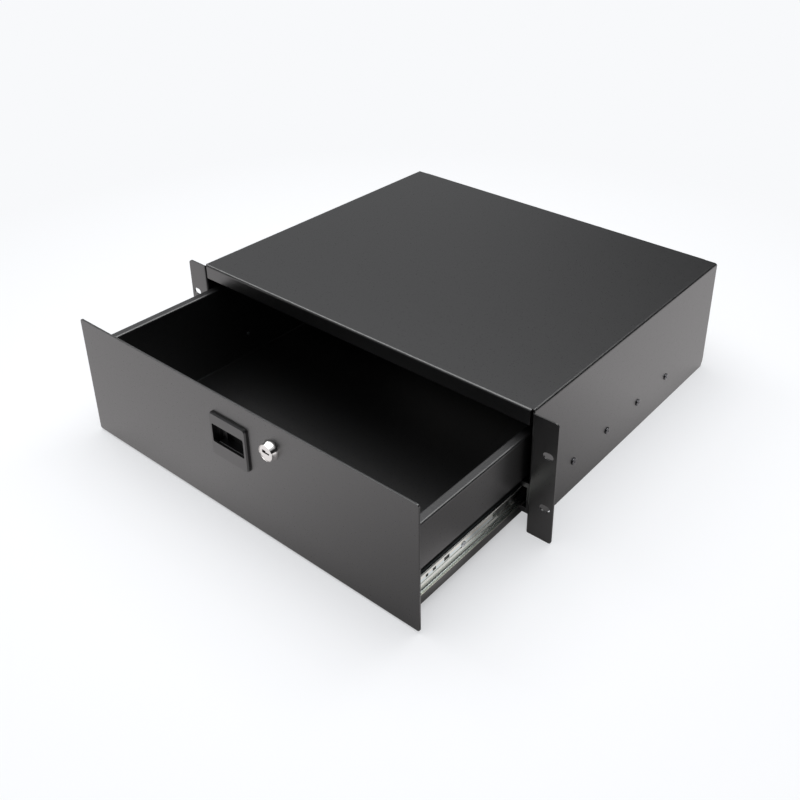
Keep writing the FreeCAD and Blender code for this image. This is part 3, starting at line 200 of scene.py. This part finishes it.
# painted shadow: dimmer where the object stands close above the paper
open_share = add_node(paper_tree, "ShaderNodeAmbientOcclusion",
                      {"Distance": COVER_REACH, "samples": 4})
covered = add_node(paper_tree, "ShaderNodeMapRange",
                   {"From Min": COVERED, "From Max": UNCOVERED,
                    "To Min": COVERED_LEVEL, "To Max": 1.0},
                   {"Value": open_share.outputs["AO"]})
level = add_node(paper_tree, "ShaderNodeMath", {"operation": "MULTIPLY"},
                 {0: shaded.outputs[0], 1: covered.outputs[0]})
away = add_node(paper_tree, "ShaderNodeVectorMath",
                {"operation": "SUBTRACT", 1: PAINTED_PATCH_PLACE}, {0: spot.outputs["Object"]})
away = add_node(paper_tree, "ShaderNodeVectorMath",
                {"operation": "MULTIPLY", 1: PAINTED_PATCH_SHAPE}, {0: away.outputs["Vector"]})
away = add_node(paper_tree, "ShaderNodeVectorMath",
                {"operation": "LENGTH"}, {0: away.outputs["Vector"]})
# painted bright patch beside the slide
painted_patch = add_node(paper_tree, "ShaderNodeMapRange",
                {"From Min": PAINTED_PATCH_NEAR, "From Max": PAINTED_PATCH_FAR,
                 "To Min": PAINTED_PATCH_LEVEL, "To Max": 0.0},
                {"Value": away.outputs["Value"]})
level = add_node(paper_tree, "ShaderNodeMath", {"operation": "MAXIMUM"},
                 {0: level.outputs[0], 1: painted_patch.outputs[0]})
mirrored = add_node(paper_tree, "ShaderNodeEmission",
                    {"Color": linear("#fcf9fa")}, {"Strength": level.outputs[0]})
print("mirrored paper:", MIRRORED_LEVEL, "in the open,", SHADE_LEVEL, "in the shade")

# %% [markdown]
# ## What the camera sees of the floor
#
# Near the object the camera sees half of the paper as plain white and half with its real shading,
# so the soft shadow under the sheet metal stays. Further out the plain white takes over, so that
# no horizon shows.

# %% Seen floor
PLAIN_SHARE = 0.50
PLAIN_CENTRE = (0.0, 0.1, 0.0)
PLAIN_NEAR, PLAIN_FAR = 0.42, 0.80      # metres from the centre: starts to grow here, full here

path = add_node(paper_tree, "ShaderNodeLightPath")
looks = add_node(paper_tree, "ShaderNodeMath", {"operation": "MAXIMUM"},
                 {0: path.outputs["Is Camera Ray"], 1: path.outputs["Is Transmission Ray"]})
away = add_node(paper_tree, "ShaderNodeVectorMath",
                {"operation": "DISTANCE", 1: PLAIN_CENTRE}, {0: spot.outputs["Object"]})
growing = add_node(paper_tree, "ShaderNodeMapRange",
                   {"From Min": PLAIN_NEAR, "From Max": PLAIN_FAR,
                    "To Min": PLAIN_SHARE, "To Max": 1.0},
                   {"Value": away.outputs["Value"]})
share = add_node(paper_tree, "ShaderNodeMath", {"operation": "MULTIPLY"},
                 {0: looks.outputs[0], 1: growing.outputs[0]})
matt = add_node(paper_tree, "ShaderNodeBsdfDiffuse", {"Color": linear("#f6f7f9")})
plain = add_node(paper_tree, "ShaderNodeEmission", {"Color": WHITE, "Strength": 1.0})
seen = add_node(paper_tree, "ShaderNodeMixShader",
                links={0: share.outputs[0], 1: matt.outputs[0], 2: plain.outputs[0]})
both = add_node(paper_tree, "ShaderNodeMixShader",
                links={0: path.outputs["Is Glossy Ray"], 1: seen.outputs[0],
                       2: mirrored.outputs[0]})
add_node(paper_tree, "ShaderNodeOutputMaterial", links={"Surface": both.outputs[0]})
print("made", paper.name, "with", len(paper_tree.nodes), "nodes")

# %% [markdown]
# ## World
#
# Nearly black paint shows little else than what it mirrors, and the top of the case mirrors the
# wall behind it. That wall is mid grey at the left, nearly black at the right, and brighter high
# up, where the ceiling lights begin. A camera that looks past the floor sees plain white.

# %% World
WALL_LEFT, WALL_RIGHT = -0.54, -0.32    # X of the directions: grey up to here, black from here
WALL_GREY, WALL_BLACK = 0.30, 0.02
CEILING_START, CEILING_FULL = 0.50, 0.80    # Z of the directions: ceiling fades in between
CEILING_LEVEL = 0.80

world = bpy.data.worlds.new("studio")
scene.world = world
world_tree = empty_tree(world)
direction = add_node(world_tree, "ShaderNodeTexCoord")
parts = add_node(world_tree, "ShaderNodeSeparateXYZ", links={0: direction.outputs["Generated"]})
ceiling = add_node(world_tree, "ShaderNodeMapRange",
                   {"From Min": CEILING_START, "From Max": CEILING_FULL,
                    "To Min": 0.0, "To Max": 1.0},
                   {"Value": parts.outputs["Z"]})
wall = add_node(world_tree, "ShaderNodeMapRange",
                {"From Min": WALL_LEFT, "From Max": WALL_RIGHT,
                 "To Min": WALL_GREY, "To Max": WALL_BLACK},
                {"Value": parts.outputs["X"]})
room = add_node(world_tree, "ShaderNodeMix", {"data_type": "FLOAT", 3: CEILING_LEVEL},
                {0: ceiling.outputs[0], 2: wall.outputs[0]})
path = add_node(world_tree, "ShaderNodeLightPath")
strength = add_node(world_tree, "ShaderNodeMix", {"data_type": "FLOAT", 3: 1.0},
                    {0: path.outputs["Is Camera Ray"], 2: room.outputs[0]})
background = add_node(world_tree, "ShaderNodeBackground",
                      {"Color": WHITE}, {"Strength": strength.outputs[0]})
add_node(world_tree, "ShaderNodeOutputWorld", links={"Surface": background.outputs[0]})
print("made the world", world.name, "with", len(world_tree.nodes), "nodes")

# %% [markdown]
# ## Lamps
#
# A large softbox hangs straight over the object, and two smaller ones stand to its left and behind
# it. They stay high, so the front lip of the case and the inside of the drawer remain dark, and
# the shadow on the floor is soft and close to the sheet metal. The folded edges of the case mirror
# the left and the rear lamp as thin light lines.

# %% Lamps
LAMP_TARGET = (0.0, 0.0, 0.0)
LAMPS = {
    # name: place, width in metres, power in watts
    "overhead_softbox": ((0.0, 0.0, 2.2), 2.2, 34.0),
    "left_softbox": ((-1.5, 0.0, 1.8), 0.9, 8.5),
    "rear_softbox": ((0.35, 1.5, 2.2), 0.9, 7.0),
}
for name, (place, width, power) in LAMPS.items():
    data = bpy.data.lights.new(name, "AREA")
    data.shape = "SQUARE"
    data.size = width
    data.energy = power
    lamp = bpy.data.objects.new(name, data)
    scene.collection.objects.link(lamp)
    lamp.location = place
    aim = Vector(LAMP_TARGET) - Vector(place)
    lamp.rotation_euler = aim.to_track_quat("-Z", "Y").to_euler()
print("made", len(LAMPS), "lamps")

# %% [markdown]
# ## Grain
#
# No real finish is equally glossy all over, and one that is looks like a toy. A painted texture
# could break the gloss up, but it would need unwrapping and would blur close up. Noise does not.
# Its width is given in millimetres, as on the real surface, and it lies on each piece's own
# coordinates, so it moves with the piece.

# %% Grain helpers
NOISE_LOW, NOISE_HIGH = 0.3, 0.7        # nearly all of the noise lies between these


def grain(tree, size_mm, detail=2.0, stretch=(1.0, 1.0, 1.0)):
    """Noise whose features are about size_mm wide, or drawn out by stretch. Returns its level."""
    place = add_node(tree, "ShaderNodeTexCoord")
    scaled = add_node(tree, "ShaderNodeMapping", {"Scale": stretch},
                      {"Vector": place.outputs["Object"]})
    noise = add_node(tree, "ShaderNodeTexNoise", {"Scale": 1.0 / (size_mm * MM), "Detail": detail},
                     {"Vector": scaled.outputs[0]})
    return noise.outputs["Fac"]


def vary_gloss(tree, shader, noise, smooth, rough):
    """Let the noise set the roughness, from smooth to rough."""
    spread = add_node(tree, "ShaderNodeMapRange",
                      {"From Min": NOISE_LOW, "From Max": NOISE_HIGH,
                       "To Min": smooth, "To Max": rough},
                      {"Value": noise})
    tree.links.new(spread.outputs[0], shader.inputs["Roughness"])


print("grain helpers are ready")

# %% [markdown]
# ## Black powder coat
#
# The folded sheet is powder coated: dry paint is sprayed on and baked, and it flows into a hard
# satin film with a fine pebbled skin. The pigment is nearly black, so almost all that the eye
# gets is the blurred mirror image in the film: the paint looks grey where it faces white paper
# and black where it faces the object itself. Grains about a millimetre wide and a faint ripple
# of six millimetres break that image up, as bump and as small changes of gloss. Baked paint has
# an IOR of about 1.5. Here it is 1.8, which makes the mirror image as bright as on the real coat.

# %% Powder coat
black_coat, tree, shader = new_material("satin_black_powder_coat", {
    "Base Color": linear("#0a0a0b"), "IOR": 1.8, "Coat Weight": 0.6, "Coat Roughness": 0.33})
skin = grain(tree, size_mm=1.1)
ripple = grain(tree, size_mm=6.0, detail=1.0)
vary_gloss(tree, shader, skin, smooth=0.27, rough=0.39)
fine = add_node(tree, "ShaderNodeBump", {"Strength": 0.35, "Distance": 0.10 * MM}, {"Height": skin})
broad = add_node(tree, "ShaderNodeBump", {"Strength": 0.12, "Distance": 0.25 * MM},
                 {"Height": ripple, "Normal": fine.outputs["Normal"]})
tree.links.new(broad.outputs["Normal"], shader.inputs["Normal"])
tree.links.new(broad.outputs["Normal"], shader.inputs["Coat Normal"])
print("made", black_coat.name)

# %% [markdown]
# ## Roll-formed zinc
#
# The slide members are rolled from zinc-plated strip. The rollers leave long straight lines, so
# the steel shows thin bright and dark streaks that run the whole length of the slide, and the
# clear passivation on the zinc gives them a faint warm or bluish cast. The lines are noise drawn
# out along the slide, used for gloss and colour. They carry no bump: lines this fine would break
# up into teeth from some way off. They are also drawn wider than the real tenths of a millimetre.

# %% Zinc-plated strip
WARM_ZINC = linear("#f6efe2")
COOL_ZINC = linear("#dcebef")

slide_zinc, tree, shader = new_material("roll_formed_zinc_plated_strip", {"Metallic": 1.0})
lines = grain(tree, size_mm=1.6, detail=1.0, stretch=(1.0, 0.0015, 1.0))
vary_gloss(tree, shader, lines, smooth=0.12, rough=0.24)
streaks = grain(tree, size_mm=2.2, detail=1.0, stretch=(1.0, 0.004, 1.0))
cast = add_node(tree, "ShaderNodeMapRange",
                {"From Min": NOISE_LOW, "From Max": NOISE_HIGH, "To Min": 0.0, "To Max": 1.0},
                {"Value": streaks})
tint = add_node(tree, "ShaderNodeMix", {"data_type": "RGBA", 6: WARM_ZINC, 7: COOL_ZINC},
                {0: cast.outputs[0]})
tree.links.new(tint.outputs[2], shader.inputs["Base Color"])
print("made", slide_zinc.name)

# %% [markdown]
# ## Chrome, hardware, screws and wire
#
# Four more metals are bare or plated. They differ in colour, in how sharply they mirror and in how
# wide their mottling is, so one table holds them all. Real plating is mottled more finely. Here
# the mottling is half a millimetre to two millimetres wide, so that it shows.

# %% Hard bright metals
METALS = {
    # name: colour, width of the mottling in mm, its detail, smoothest, roughest
    # Lock and balls, polished to a mirror: show the studio sharply, with a faint haze.
    "polished_chrome_plate": ("#eceae8", 2.0, 4.0, 0.07, 0.15),
    # Nuts, cam and small screws, plated in a barrel: dull and mottled.
    "clear_zinc_hardware": ("#ccd0d3", 1.5, 3.0, 0.26, 0.42),
    # Case screws: darker and smoother than zinc, with small sharp highlights beside the paint.
    "black_nickel_plated_screw": ("#6c6c6f", 0.8, 2.0, 0.20, 0.30),
    # Spring wire, drawn through a die and left bare: smooth and grey.
    "drawn_spring_wire": ("#9a9da3", 0.6, 1.0, 0.24, 0.36),
}
metals = {}
for name, (colour, size_mm, detail, smooth, rough) in METALS.items():
    metals[name], tree, shader = new_material(
        name, {"Metallic": 1.0, "Base Color": linear(colour)})
    vary_gloss(tree, shader, grain(tree, size_mm, detail), smooth, rough)
print("made", ", ".join(metals))

# %% [markdown]
# ## Nylon and rubber
#
# The latch and the slide caps are injection moulded in black nylon from a finely sparked mould,
# so they match the paint from afar and look a little more even close up. Nylon has an IOR of about
# 1.53. Here it is 1.72, for the same reason as on the paint. The pebble of the mould is drawn a
# third of a millimetre wide, coarser than the real tenth, so that it shows. The bumpers are matt
# black rubber that hardly mirrors anything.

# %% Moulded black parts
nylon, tree, shader = new_material("moulded_black_nylon", {
    "Base Color": linear("#09090a"), "IOR": 1.72, "Coat Weight": 0.45, "Coat Roughness": 0.3})
spark = grain(tree, size_mm=0.35, detail=1.0)
vary_gloss(tree, shader, spark, smooth=0.30, rough=0.40)
pebble = add_node(tree, "ShaderNodeBump", {"Strength": 0.2, "Distance": 0.04 * MM},
                  {"Height": spark})
tree.links.new(pebble.outputs["Normal"], shader.inputs["Normal"])

rubber, tree, shader = new_material("moulded_black_rubber", {
    "Base Color": linear("#151515"), "IOR": 1.5})
vary_gloss(tree, shader, grain(tree, size_mm=0.5, detail=1.0), smooth=0.68, rough=0.80)
print("made", nylon.name, "and", rubber.name)

# %% [markdown]
# ## Finishes on the nodes
#
# Every solid of the frame names the slot that its finish comes from, so the finishes go on by slot.

# %% Give every node its finish
FINISHES = {
    "black_powder_coat": black_coat,
    "slide_steel": slide_zinc,
    "bearing_steel": metals["polished_chrome_plate"],
    "zinc_hardware": metals["clear_zinc_hardware"],
    "black_screws": metals["black_nickel_plated_screw"],
    "latch_plastic": nylon,
    "spring_steel": metals["drawn_spring_wire"],
    "lock_chrome": metals["polished_chrome_plate"],
    "black_rubber": rubber,
}
subparts = frame["record"]["subparts"]
for entry in subparts:
    item = nodes[entry["node"]]
    item.data.materials.clear()
    item.data.materials.append(FINISHES[entry["material_slot"]])
print("finished", len(subparts), "nodes")

# %% [markdown]
# ## Shaping a piece
#
# The pieces below are shaped as by hand: a primitive is selected alone, some of its faces are
# picked by where they are or which way they face, and an edit-mode operator shapes them. Holes and
# grooves are subtracted with a cutter, which keeps their walls crisp. When a piece is complete, it
# is told which body it moves with and which solid it stands for.

# %% Piece helpers
MERGE_WITHIN = 0.002 * MM
CREASE = math.radians(32)               # edges that turn by more than this stay sharp
FACING = 0.9                            # the least share of a normal that counts as facing a side


def only(piece):
    """Make piece the only selected object."""
    bpy.ops.object.select_all(action="DESELECT")
    piece.select_set(True)
    bpy.context.view_layer.objects.active = piece


def pick(piece, wanted):
    """In edit mode, select the faces whose centre and normal are wanted."""
    only(piece)
    bpy.ops.object.mode_set(mode="EDIT")
    bpy.ops.mesh.select_mode(type="FACE")
    bpy.ops.mesh.select_all(action="DESELECT")
    bpy.ops.object.mode_set(mode="OBJECT")
    for face in piece.data.polygons:
        face.select = wanted(face.center, face.normal)
    bpy.ops.object.mode_set(mode="EDIT")


def apply_place(piece):
    """Move the object to the origin, unturned and unscaled, and keep its place in its mesh."""
    only(piece)
    bpy.ops.object.transform_apply(location=True, rotation=True, scale=True)


def carve(piece, cutter):
    """Subtract cutter from piece and remove it."""
    only(piece)
    modifier = piece.modifiers.new("carve", "BOOLEAN")
    modifier.operation = "DIFFERENCE"
    modifier.solver = "EXACT"
    modifier.object = cutter
    bpy.ops.object.modifier_apply(modifier=modifier.name)
    bpy.data.objects.remove(cutter)


def complete(piece, name, body, node, slot):
    """Clean normals, smooth shading, finish, and the node that the piece stands for."""
    piece.name = name
    piece.data.name = name
    only(piece)
    bpy.ops.object.mode_set(mode="EDIT")
    bpy.ops.mesh.select_all(action="SELECT")
    bpy.ops.mesh.remove_doubles(threshold=MERGE_WITHIN)
    bpy.ops.mesh.normals_make_consistent(inside=False)
    bpy.ops.object.mode_set(mode="OBJECT")
    bpy.ops.object.shade_smooth_by_angle(angle=CREASE)
    piece.data.materials.clear()
    piece.data.materials.append(FINISHES[slot])
    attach(piece, body)
    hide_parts(node)


print("piece helpers are ready")

# %% [markdown]
# ## Cross-head screws
#
# The screws in the case's sides are pan heads with a cross recess, pressed in one blow: a low
# dome, a flat underside and four tapered wings. A cylinder is made at the first screw's place, the
# outer rim gets a wide round bevel, the shank is drawn out of the underside, and two tapered bars
# are subtracted for the cross. Cutting the cross with modifiers keeps its walls crisp, which
# modelling it by hand from the dome's faces would not.

# %% Model one screw
DOME = 0.62                     # how much of the head's height the rounded rim takes
BAR_HEIGHT = 1.3                # share of the head's height. Half of the bar stands above the head
BAR_WIDTH = 0.24                # share of the bar's length
BAR_TAPER = (1, 0.6, 0.45)      # its deep end is narrower and shorter by these shares
CROSS_TURNS = (20, 110)         # degrees, because a screw seldom stops upright


def cross_screw(place, head_radius, head_height, shank_radius, shank_length, wing):
    """A pan-head screw that points to +X, with the underside of its head at place."""
    x, y, z = place
    bpy.ops.object.select_all(action="DESELECT")
    bpy.ops.mesh.primitive_cylinder_add(vertices=40, radius=head_radius, depth=head_height,
                                        location=(x + head_height / 2, y, z),
                                        rotation=(0, math.pi / 2, 0))
    screw = bpy.context.object
    apply_place(screw)
    pick(screw, lambda centre, normal: normal.x > FACING)
    bpy.ops.mesh.bevel(offset=head_height * DOME, segments=5, profile=0.5, affect="EDGES")
    bpy.ops.object.mode_set(mode="OBJECT")
    pick(screw, lambda centre, normal: normal.x < -FACING)
    bpy.ops.mesh.inset(thickness=head_radius - shank_radius)
    bpy.ops.mesh.extrude_region_move(TRANSFORM_OT_translate={"value": (-shank_length, 0, 0)})
    bpy.ops.object.mode_set(mode="OBJECT")
    for turn in CROSS_TURNS:
        bpy.ops.object.select_all(action="DESELECT")
        bpy.ops.mesh.primitive_cube_add(size=1.0, location=(x + head_height, y, z))
        bar = bpy.context.object
        bar.scale = (head_height * BAR_HEIGHT, wing * BAR_WIDTH, wing)
        apply_place(bar)
        pick(bar, lambda centre, normal: normal.x < -FACING)
        bpy.ops.transform.resize(value=BAR_TAPER)
        bpy.ops.object.mode_set(mode="OBJECT")
        only(bar)
        bpy.ops.transform.rotate(value=math.radians(turn), orient_axis="X",
                                 center_override=(x, y, z))
        apply_place(bar)
        carve(screw, bar)
    return screw


print("one screw can be modelled")

# %% Copy a screw to all its places
def repeat(screw, place, count, pitch, name, body, node, slot):
    """Copy a screw along the slide, and turn a second row over to the left side."""
    middle = Vector(place)
    made = []
    for side in ("right", "left"):
        for number in range(count):
            only(screw)
            bpy.ops.object.duplicate()
            copy = bpy.context.object
            bpy.ops.transform.translate(value=(0, number * pitch, 0))
            if side == "left":
                bpy.ops.transform.rotate(value=math.pi, orient_axis="Z",
                                         center_override=(0, middle.y + number * pitch, middle.z))
            apply_place(copy)
            complete(copy, f"{name}_{side}_{number + 1}", body, node, slot)
            made.append(copy)
    bpy.data.objects.remove(screw)
    return made


print("a screw can be repeated")

# %% Case screws
low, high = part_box("case_slide_screws")
radius = (high.z - low.z) / 2
seat = high.x - 2.2 * MM                # where the underside of the head comes
first_place = (seat, low.y + radius, (low.z + high.z) / 2)
screw = cross_screw(first_place, head_radius=radius - 0.3 * MM, head_height=1.4 * MM,
                    shank_radius=1.9 * MM, shank_length=3.8 * MM, wing=3.6 * MM)
screws = repeat(screw, first_place, count=4, pitch=62.0 * MM, name="case_screw",
                body="case", node="case_slide_screws", slot="black_screws")
print("made", len(screws), "case screws with", len(screws[0].data.polygons), "faces each")

# %% [markdown]
# ## Screws of the drawer members
#
# Smaller zinc-plated heads of the same kind hold the drawer members to the tray. They sit inside
# the slide, so their heads are almost flat.

# %% Drawer slide screws
low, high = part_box("drawer_slide_screws")
radius = (high.z - low.z) / 2
seat = high.x - 2.0 * MM
first_place = (seat, low.y + radius, (low.z + high.z) / 2)
screw = cross_screw(first_place, head_radius=radius - 1.0 * MM, head_height=0.6 * MM,
                    shank_radius=1.9 * MM, shank_length=3.2 * MM, wing=2.4 * MM)
screws = repeat(screw, first_place, count=3, pitch=115.0 * MM, name="slide_screw",
                body="drawer", node="drawer_slide_screws", slot="zinc_hardware")
print("made", len(screws), "slide screws")

# %% [markdown]
# ## Drawer members of the slides
#
# The drawer member is a shallow channel of 1.2 mm strip: a web against the tray and two short
# lips that the balls run behind. A pair of rolled lines along the web stiffens it. The web has
# small windows from the maker's tooling, three near its front end and one further back. The strip
# could be bent from a flat sheet, but here it is made as a bar with rounded bends, and the channel,
# the lines and the windows are cut out of it. That keeps the wall about equally thick all the way
# round and leaves both ends open.

# %% Bars and their long edges
LONG_EDGE = 10 * MM


def block(low, high):
    """A box between two corners."""
    bpy.ops.object.select_all(action="DESELECT")
    bpy.ops.mesh.primitive_cube_add(size=1.0, location=(Vector(low) + Vector(high)) / 2)
    made = bpy.context.object
    made.scale = Vector(high) - Vector(low)
    apply_place(made)
    return made


def round_long_edges(piece, radius):
    """Bevel the edges that run along the slide, for more than LONG_EDGE."""
    only(piece)
    points = piece.data.vertices
    bpy.ops.object.mode_set(mode="EDIT")
    bpy.ops.mesh.select_mode(type="EDGE")
    bpy.ops.mesh.select_all(action="DESELECT")
    bpy.ops.object.mode_set(mode="OBJECT")
    for edge in piece.data.edges:
        start, end = (points[v].co for v in edge.vertices)
        edge.select = abs(end.y - start.y) > LONG_EDGE
    bpy.ops.object.mode_set(mode="EDIT")
    bpy.ops.mesh.bevel(offset=radius, segments=4, profile=0.5, affect="EDGES")
    bpy.ops.object.mode_set(mode="OBJECT")
    return piece


print("bar helpers are ready")

# %% Form the right drawer member
STRIP = 1.2 * MM                        # thickness of the strip
DEPTH = 4.2 * MM                        # depth of the channel, outside
OUTER_BEND = 1.1 * MM
INNER_BEND = 0.8 * MM
OVERRUN = 5 * MM                        # how far a cutter stands out past each end
CHANNEL = 9 * MM                        # width of the channel's cutter, more than the depth

low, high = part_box("right_drawer_slide")
member = round_long_edges(block(low, (low.x + DEPTH, high.y, high.z)), OUTER_BEND)
web = low.x + STRIP
start, end = low.y - OVERRUN, high.y + OVERRUN
carve(member, round_long_edges(block((web, start, low.z + STRIP),
                                     (web + CHANNEL, end, high.z - STRIP)), INNER_BEND))
print("made a channel", round((high.y - low.y) / MM, 1), "mm long")

# %% Roll its lines and punch its windows
ROLLED_LINES = (                        # mm: height from the middle, half of the width, depth
    (-1.6, 0.7, 0.7),
    (-6.3, 0.9, 0.6),
)
WINDOWS = (                             # mm: distance from the front end, length, height
    (15.4, 3.2, 3.0),
    (24.2, 4.2, 3.2),
    (39.0, 7.0, 4.0),
    (106.4, 4.4, 4.4),
)
WINDOW_RISE = 1.75                      # mm that the windows' middle is above the web's middle

middle = (low.z + high.z) / 2
for height, half, deep in ROLLED_LINES:
    height = middle + height * MM
    carve(member, block((web - deep * MM, start, height - half * MM),
                        (web + MM, end, height + half * MM)))
for front, length, tall in WINDOWS:
    carve(member, block((low.x - MM, low.y + front * MM, middle + (WINDOW_RISE - tall / 2) * MM),
                        (web + MM, low.y + (front + length) * MM,
                         middle + (WINDOW_RISE + tall / 2) * MM)))
print("cut", len(ROLLED_LINES), "lines and", len(WINDOWS), "windows")

# %% Mirror the member to the left
only(member)
bpy.ops.object.duplicate()
twin = bpy.context.object
bpy.ops.transform.resize(value=(-1, 1, 1), center_override=(0, 0, 0))
apply_place(twin)
complete(member, "drawer_member_right", "drawer", "right_drawer_slide", "slide_steel")
complete(twin, "drawer_member_left", "drawer", "left_drawer_slide", "slide_steel")
print("made the drawer members with", len(member.data.polygons), "faces each")

# %% [markdown]
# ## Lock head
#
# The head of the cam lock is turned on a lathe and chromed: a flange that meets the drawer front,
# a tapered side, a rim, and a step down to the plug. The taper matters for the look, because its
# slope turns the mirror image from the dark panel to the bright room. It is made as a turner
# would: a disc is drawn out along the axis and scaled from step to step, the two open ends are
# bridged into a bore, and two flats are cut off the threaded barrel.

# %% Turn the lock body
low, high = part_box("lock_body")
axis_x = (low.x + high.x) / 2
axis_z = (low.z + high.z) / 2
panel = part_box("drawer_front")[0].y     # face of the drawer front
face = low.y
back = high.y
ledge = face + 3.4 * MM                 # bottom of the wide bore that takes the plug's face
steps = (                               # radius and place along the axis
    # threaded barrel, from the back
    (8.0 * MM, back), (8.0 * MM, panel),
    # flange
    (9.7 * MM, panel), (9.7 * MM, panel - 0.5 * MM),
    # tapered side
    (9.3 * MM, panel - 1.7 * MM), (8.85 * MM, panel - 2.9 * MM), (8.4 * MM, panel - 4.1 * MM),
    (8.2 * MM, panel - 4.8 * MM), (8.1 * MM, panel - 5.3 * MM),
    # rim, rounded on both sides
    (7.95 * MM, face), (7.75 * MM, face), (7.65 * MM, face + 0.3 * MM),
    # wide bore, then the narrow one right through
    (7.65 * MM, ledge), (5.8 * MM, ledge), (5.8 * MM, back),
)
bpy.ops.object.select_all(action="DESELECT")
bpy.ops.mesh.primitive_circle_add(vertices=72, radius=steps[0][0], fill_type="NGON",
                                  location=(axis_x, steps[0][1], axis_z),
                                  rotation=(math.pi / 2, 0, 0))
lock = bpy.context.object
apply_place(lock)
bpy.ops.object.mode_set(mode="EDIT")
bpy.ops.mesh.select_all(action="SELECT")
for (old_radius, old_y), (new_radius, new_y) in zip(steps, steps[1:]):
    bpy.ops.mesh.extrude_region_move(TRANSFORM_OT_translate={"value": (0, new_y - old_y, 0)})
    ratio = new_radius / old_radius
    bpy.ops.transform.resize(value=(ratio, 1, ratio), center_override=(axis_x, new_y, axis_z))
bpy.ops.mesh.delete(type="ONLY_FACE")
bpy.ops.object.mode_set(mode="OBJECT")
print("turned", len(steps), "steps")

# %% Close the bore and cut the flats
AT_THE_BACK = 0.01 * MM                 # a face this close to the back lies in it
FLAT_FROM_AXIS = 7.0 * MM               # 14 mm across the two flats
CUTTER_HEIGHT = 3.0 * MM
CUTTER_REACH = 10 * MM                  # half of the cutter's width
CUTTER_OVERRUN = 3 * MM                 # how far it stands out past the back

pick(lock, lambda centre, normal: abs(normal.y) > FACING and abs(centre.y - back) < AT_THE_BACK)
bpy.ops.mesh.delete(type="ONLY_FACE")
bpy.ops.mesh.select_mode(type="EDGE")
bpy.ops.mesh.select_all(action="DESELECT")
bpy.ops.mesh.select_non_manifold()
bpy.ops.mesh.bridge_edge_loops()
bpy.ops.mesh.select_all(action="SELECT")
bpy.ops.mesh.normals_make_consistent(inside=False)
bpy.ops.object.mode_set(mode="OBJECT")
for bottom in (FLAT_FROM_AXIS, -FLAT_FROM_AXIS - CUTTER_HEIGHT):
    bottom += axis_z
    carve(lock, block((axis_x - CUTTER_REACH, panel, bottom),
                      (axis_x + CUTTER_REACH, back + CUTTER_OVERRUN, bottom + CUTTER_HEIGHT)))
complete(lock, "turned_lock_head", "drawer", "lock_body", "lock_chrome")
print("lock head has", len(lock.data.polygons), "faces")

# %% [markdown]
# ## Latch springs
#
# Two coil springs stand in bores of the latch bolt and push it up. When a finger pulls the bolt
# down, they have to get shorter, which a rigid solid cannot. Their coils are copied, and the copy
# stands in for the springs.

# %% Copy the springs
low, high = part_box("latch_spring")
coils = bpy.data.objects.new("latch_coils", nodes["latch_spring"].data.copy())
scene.collection.objects.link(coils)
complete(coils, "latch_coils", "drawer", "latch_spring", "spring_steel")
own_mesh(coils)

# %% End
print("done")
